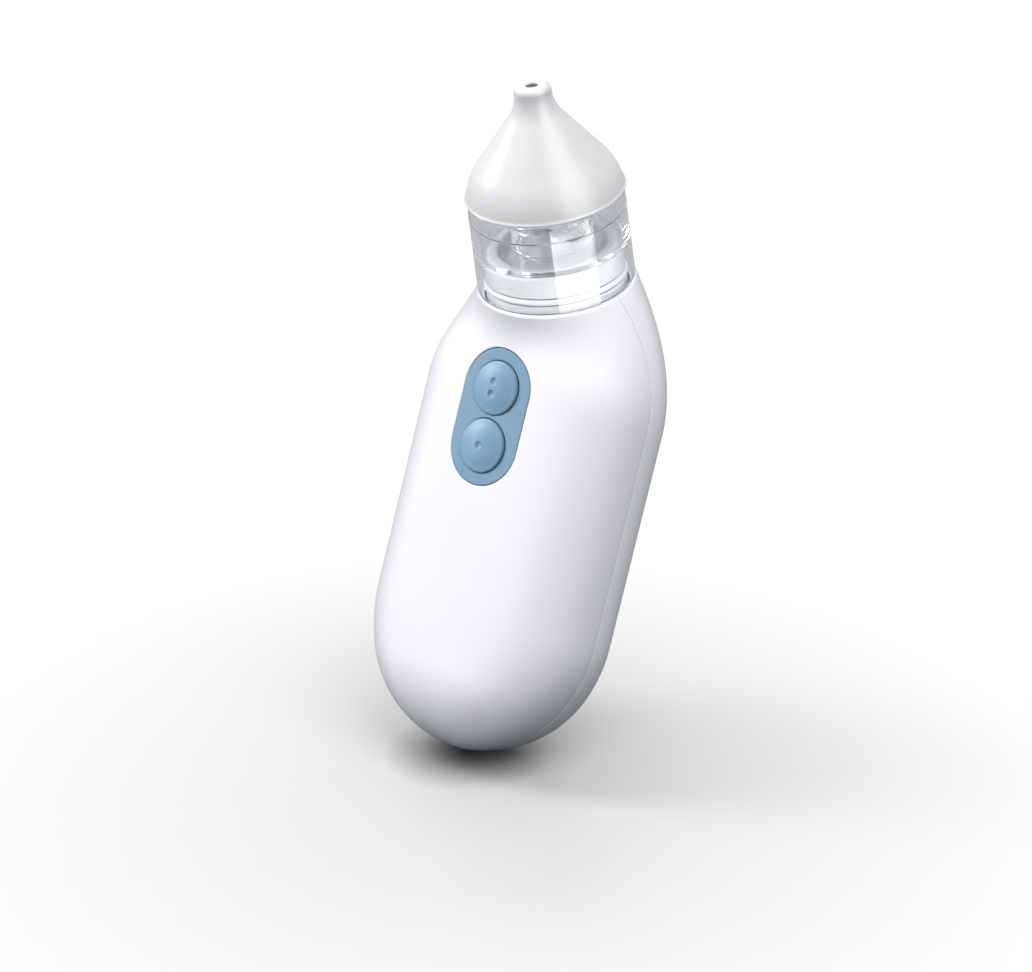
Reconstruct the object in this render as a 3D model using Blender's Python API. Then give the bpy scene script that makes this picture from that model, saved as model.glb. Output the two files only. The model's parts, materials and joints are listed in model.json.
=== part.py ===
"""Hand-held electric nasal aspirator, worked by a small diaphragm pump and two AA cells.

The handle leans back and the head (cup and tip) leans forward.  Their two frames share one
origin, the centre of the seat where the collection cup stands on the handle.  In both frames
x is across the object, -y is the front with the buttons and z runs up the piece.
Lengths are millimetres in this file, and MM turns them into metres.
"""

import math

import bmesh
import bpy
from mathutils import Matrix, Vector

MM = 0.001
GAP = 0.3

# Stance
SEAT_BACK = 14.04
SEAT_HEIGHT = 109.57
HANDLE_LEAN = math.radians(21.15)
NOZZLE_LEAN = math.radians(10.57)
BEND = HANDLE_LEAN + NOZZLE_LEAN

# Handle, outside
HANDLE_LENGTH = 113.6
HALF_WIDTH = 30.4
FRONT_DEPTH = 20.1
REAR_DEPTH = 15.8
REAR_FLAT = 0.35
PARTING_Y = 7.5
SHOULDER_Z = -29.2
SHOULDER_TURN = math.radians(60.3)
SEAT_RADIUS = 18.5
FRONT_POWER = 2.59
REAR_POWER = 2.9
SEAT_POWER = 2.0
END_WIDTH_RUN, END_WIDTH_POWER = 32.5, 1.85
END_DEPTH_RUN, END_DEPTH_POWER = 20.5, 2.15
WALL = 2.0
STRAIGHT_STEPS, SHOULDER_STEPS, HALF_STEPS = 10, 6, 16

# Buttons and their surround
SURROUND_Z = -34.0
SURROUND_HALF_WIDTH = 9.75
SURROUND_HALF_LENGTH = 16.25
SURROUND_SUNK = 0.15
POCKET_DEPTH = 1.35
BUTTON_RADIUS = 6.3
BUTTON_OFFSET = 6.85
BUTTON_PROUD = 1.5
BUTTON_SKIRT = 0.2
BUTTON_DOME, BUTTON_DOME_END = 22.0, 77
STEM_RADIUS = 1.9
STEM_LENGTH = 3.4

# Circuit board and switches
BOARD_FRONT_Y, BOARD_THICK = -4.6, 1.6
BOARD_HALF_WIDTH, BOARD_TOP_Z, BOARD_LOW_Z = 11.0, -18.5, -54.0
SWITCH_SIDE, SWITCH_HEIGHT, SWITCH_EDGE = 6.0, 3.4, 0.3
PLUNGER_RADIUS, PLUNGER_LENGTH, PLUNGER_WELL = 1.5, 2.1, 2.7
BOARD_SCREW_X, BOARD_SCREW_Z = 8.3, -51.5
BOARD_HOLE_RADIUS = 1.2
BOARD_BOSS_RADIUS, BOARD_BOSS_REACH = 2.2, 11.3
BOARD_BORE_RADIUS, BOARD_BORE_REACH = 1.1, 9.6

# Screws: head radius, head height, shank radius, shank length
CASE_SCREW = (2.1, 1.3, 0.95, 9.0)
BOARD_SCREW = (1.9, 1.2, 0.85, 5.6)
PUMP_SCREW = (1.3, 0.8, 0.7, 11.0)
SCREW_POINT = 0.8

# Battery bay
CELL_RADIUS, CELL_LENGTH = 7.25, 50.5
CELL_NUB_RADIUS, CELL_NUB_HEIGHT = 2.75, 1.0
CELL_X, CELL_Y, CELL_LOW_Z = 7.9, 10.5, -100.5
TRAY_HALF_WIDTH, TRAY_FRONT_Y, TRAY_REAR_Y = 16.5, 1.9, 13.5
TRAY_LOW_Z, TRAY_TOP_Z, TRAY_WALL, TRAY_CORNER = -103.4, -47.0, 1.0, 6.5
CONTACT_SIDE, CONTACT_THICK = 8.0, 0.4
SPRING_RADIUS, SPRING_WIRE, SPRING_TURNS, SPRING_HEIGHT = 3.2, 0.2, 2.5, 0.6
COVER_HALF_WIDTH, COVER_LOW_Z, COVER_TOP_Z, COVER_CORNER = 17.5, -100.0, -40.0, 6.0
COVER_WALL = 1.6
GRIP_COUNT, GRIP_PITCH, GRIP_DROP = 3, 2.2, 6.0
GRIP_RADIUS, GRIP_HALF_LENGTH, GRIP_LIFT = 0.7, 8.0, 0.2
CASE_SCREW_X, CASE_SCREW_Z = 14.4, -43.8
CASE_BOSS_RADIUS, CASE_BOSS_REACH, CASE_BORE_RADIUS = 2.5, 10.4, 1.3
LEDGE_FRONT_Y, LEDGE_REAR_Y, LEDGE_ROOT_Y = 16.6, 18.4, 21.6
LEDGE_HALF_WIDTH, LEDGE_BELOW, LEDGE_ABOVE, LEDGE_STEP = 2.7, 2.8, 3.0, 0.6

# Pump and motor, on the shaft's axis
SHAFT_Y = 10.7
MOTOR_RADIUS, MOTOR_LOW_Z, MOTOR_TOP_Z = 9.0, -44.5, -29.6
SLEEVE_WALL, SLEEVE_LOW_Z, SLEEVE_TOP_Z = 0.8, -43.0, -32.0
SHAFT_RADIUS, SHAFT_PLAY, MOTOR_NOSE_RADIUS = 1.0, 0.25, 3.0
CRANK_OFFSET, CRANK_RADIUS, CRANK_HALF_HEIGHT = 0.6, 2.4, 2.2
CRANK_WELL_RADIUS, SHAFT_HOLE_RADIUS = 5.6, 1.6
ROD_Z, ROD_RADIUS, EYE_BORE, EYE_RADIUS, EYE_HALF_HEIGHT = -20.5, 1.3, 3.8, 4.7, 1.6
DIAPHRAGM_RADIUS, DIAPHRAGM_FRONT_Y, DIAPHRAGM_THICK = 6.4, 2.0, 1.0
ROD_WINDOW_RADIUS, CHAMBER_RADIUS = 2.9, 4.5
HOUSING_HALF_WIDTH, HOUSING_FRONT_Y, HOUSING_REAR_Y, HOUSING_EDGE = 9.5, 4.7, 18.2, 0.8
HOUSING_LOW_Z, HOUSING_TOP_Z, HOUSING_FLOOR = -28.9, -13.2, 2.4
HEAD_FRONT_Y, HEAD_REAR_Y, HEAD_EDGE = -1.7, 1.6, 0.3
PORT_RADIUS, PORT_BORE, PORT_Y, PORT_HEIGHT = 1.3, 0.7, -0.05, 2.0
PUMP_SCREW_X, PUMP_SCREW_DZ, PUMP_HOLE_RADIUS = 7.53, 5.87, 0.95
TUBE_OUTER, TUBE_INNER = 2.3, 1.7

# Wires: half spacing, height at the board and height at the far end
WIRE_RADIUS = 0.55
MOTOR_WIRE_X, MOTOR_WIRE_LOW_Z, MOTOR_WIRE_TOP_Z, MOTOR_WIRE_END_Y = 4.0, -48.5, -45.7, 3.4
BATTERY_WIRE_X, BATTERY_WIRE_LOW_Z, BATTERY_WIRE_TOP_Z = 6.0, -52.6, -50.2

# Neck plug, cup and tip, on the nozzle's axis
PLUG_RADIUS, PLUG_LOW, PLUG_TOP, PLUG_EDGE = 16.0, -3.0, 9.1, 2.0
WELL_RADIUS, WELL_DEPTH, WELL_SLOPE = 12.4, 3.0, 0.4
TOWER_RADIUS, TOWER_TOP, TOWER_EDGE = 5.0, 13.0, 1.5
SEAL_RADIUS, SEAL_WIRE, SEAL_HEIGHT = 15.75, 0.7, 2.6
SPOUT_LOW = -6.5
CUP_TOP_RADIUS, CUP_TOP, CUP_WALL = 18.2, 22.5, 1.6
CUP_FLOOR, CUP_FLOOR_THICK = 9.6, 1.0
STANDPIPE_RADIUS, STANDPIPE_WALL, STANDPIPE_TOP = 9.2, 1.2, 16.0
SPIGOT_RADIUS, SPIGOT_TOP, SPIGOT_WALL = 16.4, 27.0, 1.4
TIP_LOW, TIP_TOP, TIP_RADIUS, TIP_WALL = 22.8, 49.6, 18.7, 2.0
TIP_SHOULDER_HEIGHT, TIP_SHOULDER_BEND = 20.1, 17.2
TIP_NECK_RADIUS, TIP_NECK_HEIGHT, TIP_NECK_BEND = 4.3, 48.0, 10.2
TIP_LIP, TIP_HOLE = 1.6, 1.4


def clear_scene():
    for old in list(bpy.data.objects):
        bpy.data.objects.remove(old, do_unlink=True)


def material(name, colour, roughness, metallic=0.0, see_through=0.0):
    made = bpy.data.materials.new(name)
    made.use_nodes = True
    shader = made.node_tree.nodes["Principled BSDF"]
    shader.inputs["Base Color"].default_value = (*colour, 1.0)
    shader.inputs["Roughness"].default_value = roughness
    shader.inputs["Metallic"].default_value = metallic
    shader.inputs["Transmission Weight"].default_value = see_through
    return made


def frame_empty(name, lean):
    empty = bpy.data.objects.new(name, None)
    empty.empty_display_size = 10 * MM
    empty.location = Vector((0, SEAT_BACK, SEAT_HEIGHT)) * MM
    empty.rotation_euler = (lean, 0, 0)
    bpy.context.scene.collection.objects.link(empty)
    return empty


def add_solid(name, mesh, parent, at=(0, 0, 0), turn=(0, 0, 0), look=None):
    """Make a bmesh in millimetres an object, placed in its parent's frame."""
    bmesh.ops.recalc_face_normals(mesh, faces=mesh.faces)
    bmesh.ops.scale(mesh, vec=(MM, MM, MM), verts=mesh.verts)
    data = bpy.data.meshes.new(name)
    mesh.to_mesh(data)
    mesh.free()
    data.shade_smooth()
    data.set_sharp_from_angle(angle=math.radians(35))
    made = bpy.data.objects.new(name, data)
    bpy.context.scene.collection.objects.link(made)
    made.parent = parent
    made.location = Vector(at) * MM
    made.rotation_euler = turn
    if look:
        data.materials.append(look)
    return made


def add_cutter(name, mesh, parent, at=(0, 0, 0), turn=(0, 0, 0)):
    made = add_solid(name, mesh, parent, at, turn)
    made.hide_render = True
    made.display_type = "WIRE"
    return made


def combine(target, other, operation, solver="EXACT"):
    step = target.modifiers.new(f"{operation.lower()}_{other.name}", "BOOLEAN")
    step.operation = operation
    step.object = other
    step.solver = solver


def turned(profile, steps):
    """The closed (radius, height) loop spun about z."""
    mesh = bmesh.new()
    rings = []
    for radius, height in profile:
        count = 1 if radius < 1e-6 else steps
        spokes = [2 * math.pi * k / steps for k in range(count)]
        rings.append([mesh.verts.new((radius * math.cos(a), radius * math.sin(a), height))
                      for a in spokes])
    for ring, following in zip(rings, rings[1:] + rings[:1]):
        if len(ring) == 1 and len(following) == 1:
            continue
        for k in range(steps):
            after = (k + 1) % steps
            corners = [ring[k % len(ring)], ring[after % len(ring)],
                       following[after % len(following)], following[k % len(following)]]
            mesh.faces.new(list(dict.fromkeys(corners)))
    return mesh


def arc(centre, radius, start, end, steps):
    """Points (across, up) on an arc, angles in degrees from across."""
    points = []
    for k in range(steps + 1):
        angle = math.radians(start + (end - start) * k / steps)
        points.append((centre[0] + radius * math.cos(angle), centre[1] + radius * math.sin(angle)))
    return points


def rod_profile(radius, low, top, edge=0.0):
    """A plain cylinder, with its two rims chamfered by edge."""
    return [(0, low), (radius - edge, low), (radius, low + edge),
            (radius, top - edge), (radius - edge, top), (0, top)]


def cylinder(radius, low, top, steps=20):
    return turned([(0, low), (radius, low), (radius, top), (0, top)], steps)


def block(low, high, edge=0.0):
    """A box between two corners, with its edges chamfered."""
    mesh = bmesh.new()
    bmesh.ops.create_cube(mesh, size=1.0)
    size = Vector(high) - Vector(low)
    middle = (Vector(high) + Vector(low)) / 2
    bmesh.ops.transform(mesh, matrix=Matrix.Translation(middle) @ Matrix.Diagonal((*size, 1)),
                        verts=mesh.verts)
    if edge:
        bmesh.ops.bevel(mesh, geom=mesh.edges[:], offset=edge, segments=1, affect="EDGES")
    return mesh


def slab(outline, low_y, high_y):
    """The (x, z) outline pushed through from low_y to high_y."""
    mesh = bmesh.new()
    near = [mesh.verts.new((x, low_y, z)) for x, z in outline]
    far = [mesh.verts.new((x, high_y, z)) for x, z in outline]
    mesh.faces.new(near)
    mesh.faces.new(far)
    for k in range(len(outline)):
        after = (k + 1) % len(outline)
        mesh.faces.new((near[k], near[after], far[after], far[k]))
    return mesh


def rounded_outline(half_x, low_z, high_z, radius, steps=8):
    """A rectangle on x = 0 with round corners, or a stadium when radius is half_x."""
    corner_x = half_x - radius
    points = arc((corner_x, high_z - radius), radius, 0, 90, steps)
    points += arc((-corner_x, high_z - radius), radius, 90, 180, steps)
    points += arc((-corner_x, low_z + radius), radius, 180, 270, steps)
    points += arc((corner_x, low_z + radius), radius, 270, 360, steps)
    kept = []
    for point in points:
        if not kept or math.dist(point, kept[-1]) > 1e-6:
            kept.append(point)
    if math.dist(kept[0], kept[-1]) < 1e-6:
        kept.pop()
    return kept


def pipe(path, outer, inner, sides, reference):
    """A pipe along the path, or a solid wire when inner is 0."""
    mesh = bmesh.new()
    outside, inside = [], []
    path = [Vector(p) for p in path]
    for k, point in enumerate(path):
        ahead = (path[min(k + 1, len(path) - 1)] - path[max(k - 1, 0)]).normalized()
        across = Vector(reference).cross(ahead).normalized()
        up = ahead.cross(across)
        spokes = [across * math.cos(2 * math.pi * s / sides) + up * math.sin(2 * math.pi * s / sides)
                  for s in range(sides)]
        outside.append([mesh.verts.new(point + spoke * outer) for spoke in spokes])
        if inner:
            inside.append([mesh.verts.new(point + spoke * inner) for spoke in spokes])
    loops = outside + inside[::-1]
    for ring, following in zip(loops, loops[1:] + (loops[:1] if inner else [])):
        for s in range(sides):
            after = (s + 1) % sides
            mesh.faces.new((ring[s], ring[after], following[after], following[s]))
    if not inner:
        mesh.faces.new(outside[0])
        mesh.faces.new(outside[-1])
    return mesh


def bezier(start, leave, arrive, end, steps):
    points = []
    for k in range(steps + 1):
        t = k / steps
        weights = ((1 - t) ** 3, 3 * t * (1 - t) ** 2, 3 * t * t * (1 - t), t ** 3)
        corners = (start, leave, arrive, end)
        points.append(sum((Vector(c) * w for c, w in zip(corners, weights)), Vector()))
    return points


def end_rounding(height, run, power):
    """How full the handle is at a height above its bottom, from 0 to 1."""
    left = max(0.0, 1 - height / run)
    return (1 - left ** power) ** (1 / power)


def handle_section(level, inset):
    """The handle's section, inset from the outer skin: centre y and z, tilt, half width, front
    and rear depths and how far it has turned round (0 to 1).  Level is 0 at the bottom,
    1 where the shoulder starts and 2 at the seat."""
    width, front, rear = HALF_WIDTH - inset, FRONT_DEPTH - inset, REAR_DEPTH - inset
    if level <= 1:
        length = HANDLE_LENGTH - inset
        height = (length + SHOULDER_Z) * (1 - math.cos(level * math.pi / 2))
        wide = end_rounding(height, END_WIDTH_RUN - inset, END_WIDTH_POWER)
        deep = end_rounding(height, END_DEPTH_RUN - inset, END_DEPTH_POWER)
        return PARTING_Y, height - length, 0.0, width * wide, front * deep, rear * deep, 0.0
    q = level - 1
    reach = math.hypot(PARTING_Y, SHOULDER_Z)
    start, leave = 2 * q ** 3 - 3 * q ** 2 + 1, (q ** 3 - 2 * q ** 2 + q) * reach
    arrive = (q ** 3 - q ** 2) * reach
    centre_y = PARTING_Y * start - math.sin(BEND) * arrive
    centre_z = SHOULDER_Z * start + leave + math.cos(BEND) * arrive
    seat = SEAT_RADIUS - inset
    ease = q * q * (3 - 2 * q)
    narrow = ((math.cos(q * SHOULDER_TURN) - math.cos(SHOULDER_TURN))
              / (1 - math.cos(SHOULDER_TURN)))
    return (centre_y, centre_z, BEND * ease, seat + (width - seat) * narrow,
            seat + (front - seat) * (1 - ease), seat + (rear - seat) * (1 - ease), ease)


def half_ring(level, inset, side):
    """Points from +x round to -x on one half of the section; side is -1 in front, 1 behind."""
    y, z, tilt, width, front, rear, ease = handle_section(level, inset)
    depth = front if side < 0 else rear
    power = FRONT_POWER if side < 0 else REAR_POWER
    power += (SEAT_POWER - power) * ease
    flat = depth - REAR_FLAT * (1 - ease) if side > 0 else depth
    points = []
    for step in range(HALF_STEPS + 1):
        angle = math.pi * step / HALF_STEPS
        along, out = math.cos(angle), max(0.0, math.sin(angle))
        x = math.copysign(abs(along) ** (2 / power), along) * width
        reach = min(out ** (2 / power) * depth, flat)
        off = side * (GAP / 2 + reach * (1 - GAP / 2 / max(depth, 1.0)))
        points.append((x, y + off * math.cos(tilt), z + off * math.sin(tilt)))
    return points


def half_skin(side, outer_inset, inner_inset):
    """One half of the handle between two insets from its outer skin: a closed half shell."""
    mesh = bmesh.new()
    levels = [(k + 1) / STRAIGHT_STEPS for k in range(STRAIGHT_STEPS)]
    levels += [1 + (k + 1) / SHOULDER_STEPS for k in range(SHOULDER_STEPS)]
    skins = []
    for inset in (outer_inset, inner_inset):
        pole = mesh.verts.new((0, PARTING_Y + side * GAP / 2, inset - HANDLE_LENGTH))
        rings = [[mesh.verts.new(p) for p in half_ring(level, inset, side)] for level in levels]
        for a, b in zip(rings[0], rings[0][1:]):
            mesh.faces.new((pole, a, b))
        for ring, following in zip(rings, rings[1:]):
            for k in range(HALF_STEPS):
                mesh.faces.new((ring[k], ring[k + 1], following[k + 1], following[k]))
        skins.append((pole, rings))
    (outer_pole, outer), (inner_pole, inner) = skins
    for end in (0, -1):
        rim_out = [outer_pole] + [ring[end] for ring in outer]
        rim_in = [inner_pole] + [ring[end] for ring in inner]
        for k in range(len(levels)):
            mesh.faces.new((rim_out[k], rim_out[k + 1], rim_in[k + 1], rim_in[k]))
    for k in range(HALF_STEPS):
        mesh.faces.new((outer[-1][k], outer[-1][k + 1], inner[-1][k + 1], inner[-1][k]))
    return mesh


def front_line(level):
    y, z, tilt, _, front, _, _ = handle_section(level, 0.0)
    return Vector((0, y - front * math.cos(tilt), z - front * math.sin(tilt)))


def front_pose(z):
    """The point of the front line at height z, and the turn that lays local z along the
    outward normal there."""
    low, high = 1.0, 2.0
    if z <= SHOULDER_Z:
        return Vector((0, PARTING_Y - FRONT_DEPTH, z)), math.pi / 2
    for _ in range(40):
        middle = (low + high) / 2
        if front_line(middle).z < z:
            low = middle
        else:
            high = middle
    along = front_line(low + 0.01) - front_line(low)
    return front_line(low), math.atan2(along.z, along.y)


def surround_outline(shrink):
    return rounded_outline(SURROUND_HALF_WIDTH - shrink, SURROUND_Z - SURROUND_HALF_LENGTH + shrink,
                           SURROUND_Z + SURROUND_HALF_LENGTH - shrink,
                           SURROUND_HALF_WIDTH - shrink)


def build_front_shell(handle, looks):
    shell = add_solid("front_shell", half_skin(-1, 0.0, WALL), handle, look=looks["white"])
    for side, sign in (("left", -1), ("right", 1)):
        case_at = (sign * CASE_SCREW_X, 0, CASE_SCREW_Z)
        board_at = (sign * BOARD_SCREW_X, 0, BOARD_SCREW_Z)
        case_boss = cylinder(CASE_BOSS_RADIUS, CASE_BOSS_REACH, GAP - LEDGE_FRONT_Y, 16)
        case_bore = cylinder(CASE_BORE_RADIUS, -2.0, -20.0, 12)
        board_boss = cylinder(BOARD_BOSS_RADIUS, BOARD_BOSS_REACH, GAP - BOARD_FRONT_Y, 16)
        board_bore = cylinder(BOARD_BORE_RADIUS, BOARD_BORE_REACH, 3.0, 12)
        for name, mesh, at, operation in (("case_boss", case_boss, case_at, "UNION"),
                                          ("case_bore", case_bore, case_at, "DIFFERENCE"),
                                          ("board_boss", board_boss, board_at, "UNION"),
                                          ("board_bore", board_bore, board_at, "DIFFERENCE")):
            other = add_cutter(f"{name}_{side}", mesh, handle, at, (math.pi / 2, 0, 0))
            combine(shell, other, operation)
    pocket = add_cutter("surround_pocket", half_skin(-1, -1.0, POCKET_DEPTH), handle)
    prism = add_cutter("surround_prism", slab(surround_outline(0.0), -20, -5), handle)
    combine(pocket, prism, "INTERSECT")
    combine(shell, pocket, "DIFFERENCE")
    for name, offset in (("high", BUTTON_OFFSET), ("low", -BUTTON_OFFSET)):
        at, turn = front_pose(SURROUND_Z + offset)
        hole = add_cutter(f"stem_hole_{name}", cylinder(STEM_RADIUS + GAP, -6.0, 1.0, 16),
                          handle, at, (turn, 0, 0))
        combine(shell, hole, "DIFFERENCE")
    return shell


def build_surround(handle, looks):
    surround = add_solid("button_surround",
                         half_skin(-1, SURROUND_SUNK, POCKET_DEPTH - GAP / 2), handle,
                         look=looks["blue"])
    prism = add_cutter("surround_edge", slab(surround_outline(GAP * 0.8), -20, -5), handle)
    combine(surround, prism, "INTERSECT")
    for name, offset in (("high", BUTTON_OFFSET), ("low", -BUTTON_OFFSET)):
        at, turn = front_pose(SURROUND_Z + offset)
        hole = add_cutter(f"button_hole_{name}", cylinder(BUTTON_RADIUS + GAP, -4.0, 3.0, 28),
                          handle, at, (turn, 0, 0))
        combine(surround, hole, "DIFFERENCE")
    return surround


def button_profile():
    dome = arc((0, BUTTON_PROUD - BUTTON_DOME), BUTTON_DOME, 90, BUTTON_DOME_END, 3)
    rim = dome[-1]
    return dome + [(BUTTON_RADIUS - 0.4, rim[1] - 0.15), (BUTTON_RADIUS, rim[1] - 0.6),
                   (BUTTON_RADIUS, -BUTTON_SKIRT), (STEM_RADIUS, -BUTTON_SKIRT),
                   (STEM_RADIUS, -STEM_LENGTH), (0, -STEM_LENGTH)]


def build_buttons(handle, looks):
    """Both buttons, with the switch and the plunger that each one presses."""
    for name, offset in (("high", BUTTON_OFFSET), ("low", -BUTTON_OFFSET)):
        at, turn = front_pose(SURROUND_Z + offset)
        inward = Vector((0, math.sin(turn), -math.cos(turn)))
        add_solid(f"button_{name}", turned(button_profile(), 28), handle, at, (turn, 0, 0),
                  looks["button"])
        stem_end = at + inward * STEM_LENGTH
        plunger_top = stem_end + Vector((0, 0.2, 0))
        switch_front = BOARD_FRONT_Y - 0.2 - SWITCH_HEIGHT
        add_solid(f"switch_{name}_plunger",
                  turned(rod_profile(PLUNGER_RADIUS, -PLUNGER_LENGTH, 0.0, 0.15), 14), handle,
                  plunger_top, (math.pi / 2, 0, 0), looks["black"])
        half = SWITCH_SIDE / 2
        switch = add_solid(f"switch_{name}",
                           block((-half, 0, -half), (half, SWITCH_HEIGHT, half), SWITCH_EDGE),
                           handle, (0, switch_front, stem_end.z), look=looks["black"])
        well = add_cutter(f"switch_well_{name}",
                          cylinder(PLUNGER_RADIUS + 0.25, -PLUNGER_WELL, 2.0, 14),
                          handle, (0, switch_front, stem_end.z), (math.pi / 2, 0, 0))
        combine(switch, well, "DIFFERENCE")


def build_rear_shell(handle, looks):
    shell = add_solid("rear_shell", half_skin(1, 0.0, WALL), handle, look=looks["white"])
    outline = rounded_outline(COVER_HALF_WIDTH, COVER_LOW_Z, COVER_TOP_Z, COVER_CORNER)
    opening = add_cutter("cover_opening", slab(outline, 12, 30), handle)
    combine(shell, opening, "DIFFERENCE")
    for side, x in (("left", -CASE_SCREW_X), ("right", CASE_SCREW_X)):
        bracket = add_cutter(f"ledge_{side}", ledge(), handle, (x, 0, 0))
        hole = add_cutter(f"ledge_hole_{side}", cylinder(CASE_BORE_RADIUS, -10.0, -25.0, 12),
                          handle, (x, 0, CASE_SCREW_Z), (math.pi / 2, 0, 0))
        combine(shell, bracket, "UNION")
        combine(shell, hole, "DIFFERENCE")
    return shell


def ledge():
    """An L-shaped shelf under the battery cover that takes a case screw's head."""
    mesh = bmesh.new()
    low_z, top_z = CASE_SCREW_Z - LEDGE_BELOW, COVER_TOP_Z + LEDGE_ABOVE
    step_z = COVER_TOP_Z + LEDGE_STEP
    outline = [(LEDGE_FRONT_Y, low_z), (LEDGE_FRONT_Y, top_z), (LEDGE_ROOT_Y, top_z),
               (LEDGE_ROOT_Y, step_z), (LEDGE_REAR_Y, step_z), (LEDGE_REAR_Y, low_z)]
    left = [mesh.verts.new((-LEDGE_HALF_WIDTH, y, z)) for y, z in outline]
    right = [mesh.verts.new((LEDGE_HALF_WIDTH, y, z)) for y, z in outline]
    mesh.faces.new(left)
    mesh.faces.new(right)
    for k in range(len(outline)):
        after = (k + 1) % len(outline)
        mesh.faces.new((left[k], left[after], right[after], right[k]))
    return mesh


def build_cover(handle, looks):
    cover = add_solid("battery_cover", half_skin(1, 0.0, COVER_WALL), handle, look=looks["white"])
    outline = rounded_outline(COVER_HALF_WIDTH - GAP, COVER_LOW_Z + GAP, COVER_TOP_Z - GAP,
                              COVER_CORNER - GAP)
    combine(cover, add_cutter("cover_edge", slab(outline, 12, 30), handle), "INTERSECT")
    flat_y = PARTING_Y + REAR_DEPTH - REAR_FLAT
    for k in range(GRIP_COUNT):
        z = COVER_TOP_Z - GRIP_DROP - GRIP_PITCH * k
        groove = add_cutter(f"grip_{k + 1}",
                            cylinder(GRIP_RADIUS, -GRIP_HALF_LENGTH, GRIP_HALF_LENGTH, 10), handle,
                            (0, flat_y + GRIP_LIFT, z), (0, math.pi / 2, 0))
        combine(cover, groove, "DIFFERENCE")
    return cover


def build_board(handle, looks):
    back = BOARD_FRONT_Y + BOARD_THICK
    board = add_solid("circuit_board",
                      block((-BOARD_HALF_WIDTH, BOARD_FRONT_Y, BOARD_LOW_Z),
                            (BOARD_HALF_WIDTH, back, BOARD_TOP_Z)), handle, look=looks["green"])
    for side, x in (("left", -BOARD_SCREW_X), ("right", BOARD_SCREW_X)):
        hole = add_cutter(f"board_hole_{side}", cylinder(BOARD_HOLE_RADIUS, -5.0, 8.0, 12), handle,
                          (x, 0, BOARD_SCREW_Z), (math.pi / 2, 0, 0))
        combine(board, hole, "DIFFERENCE")
        add_solid(f"board_screw_{side}", turned(screw_profile(*BOARD_SCREW), 14), handle,
                  (x, back + 0.2, BOARD_SCREW_Z), (-math.pi / 2, 0, 0), looks["steel"])
        add_solid(f"case_screw_{side}", turned(screw_profile(*CASE_SCREW), 14), handle,
                  (math.copysign(CASE_SCREW_X, x), LEDGE_REAR_Y + 0.2, CASE_SCREW_Z),
                  (-math.pi / 2, 0, 0), looks["steel"])


def screw_profile(head_radius, head_height, shank_radius, shank_length):
    """A pan-head screw pointing down local -z, its head standing on local z = 0."""
    return [(0, head_height), (head_radius * 0.7, head_height), (head_radius, head_height * 0.5),
            (head_radius, 0), (shank_radius, 0), (shank_radius, SCREW_POINT - shank_length),
            (0, -shank_length)]


def build_battery_bay(handle, looks):
    tray_outline = rounded_tray(0.0)
    tray = add_solid("battery_tray", upright(tray_outline, TRAY_LOW_Z, TRAY_TOP_Z), handle,
                     look=looks["grey"])
    hollow = add_cutter("tray_hollow", upright(rounded_tray(TRAY_WALL), TRAY_LOW_Z + TRAY_WALL,
                                               TRAY_TOP_Z - TRAY_WALL), handle)
    combine(tray, hollow, "DIFFERENCE")
    nub = CELL_NUB_HEIGHT
    for side, x, turn in (("left", -CELL_X, 0), ("right", CELL_X, math.pi)):
        half = CELL_LENGTH / 2
        profile = [(0, -half), (CELL_RADIUS - 0.5, -half), (CELL_RADIUS, 0.5 - half),
                   (CELL_RADIUS, half - nub - 0.5), (CELL_RADIUS - 0.5, half - nub),
                   (CELL_NUB_RADIUS, half - nub), (CELL_NUB_RADIUS, half), (0, half)]
        add_solid(f"battery_{side}", turned(profile, 24), handle,
                  (x, CELL_Y, CELL_LOW_Z + half), (turn, 0, 0), looks["cell"])
    build_contacts(handle, looks)


def rounded_tray(wall):
    """The tray's (x, y) outline: round corners in front, open (or cut past) behind."""
    half, front = TRAY_HALF_WIDTH - wall, TRAY_FRONT_Y + wall
    radius = TRAY_CORNER - wall
    rear = TRAY_REAR_Y if wall == 0.0 else TRAY_REAR_Y + 5
    points = arc((-half + radius, front + radius), radius, 180, 270, 5)
    points += arc((half - radius, front + radius), radius, 270, 360, 5)
    return points + [(half, rear), (-half, rear)]


def upright(outline, low, top):
    """The (x, y) outline pushed up from low to top."""
    mesh = bmesh.new()
    bottom = [mesh.verts.new((x, y, low)) for x, y in outline]
    lid = [mesh.verts.new((x, y, top)) for x, y in outline]
    mesh.faces.new(bottom)
    mesh.faces.new(lid)
    for k in range(len(outline)):
        after = (k + 1) % len(outline)
        mesh.faces.new((bottom[k], bottom[after], lid[after], lid[k]))
    return mesh


def build_contacts(handle, looks):
    """A bridge and a spring under the cells, and a plate for each cell above them."""
    half = CONTACT_SIDE / 2
    bottom = TRAY_LOW_Z + TRAY_WALL + 0.2
    top = TRAY_TOP_Z - TRAY_WALL - 0.2 - CONTACT_THICK
    add_solid("contact_bridge",
              block((-CELL_X - half, CELL_Y - half, bottom),
                    (CELL_X + half, CELL_Y + half, bottom + CONTACT_THICK)),
              handle, look=looks["steel"])
    for side, x in (("left", -CELL_X), ("right", CELL_X)):
        add_solid(f"contact_plate_{side}",
                  block((x - half, CELL_Y - half, top), (x + half, CELL_Y + half, top + CONTACT_THICK)),
                  handle, look=looks["steel"])
    coil = spring_path()
    add_solid("contact_spring_left", pipe(coil, SPRING_WIRE, 0, 6, (0, 0, 1)), handle,
              (-CELL_X, CELL_Y, bottom + CONTACT_THICK + 0.4), look=looks["steel"])
    add_solid("contact_spring_right", pipe(coil, SPRING_WIRE, 0, 6, (0, 0, 1)), handle,
              (CELL_X, CELL_Y, top - 0.4), (math.pi, 0, 0), looks["steel"])


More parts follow.
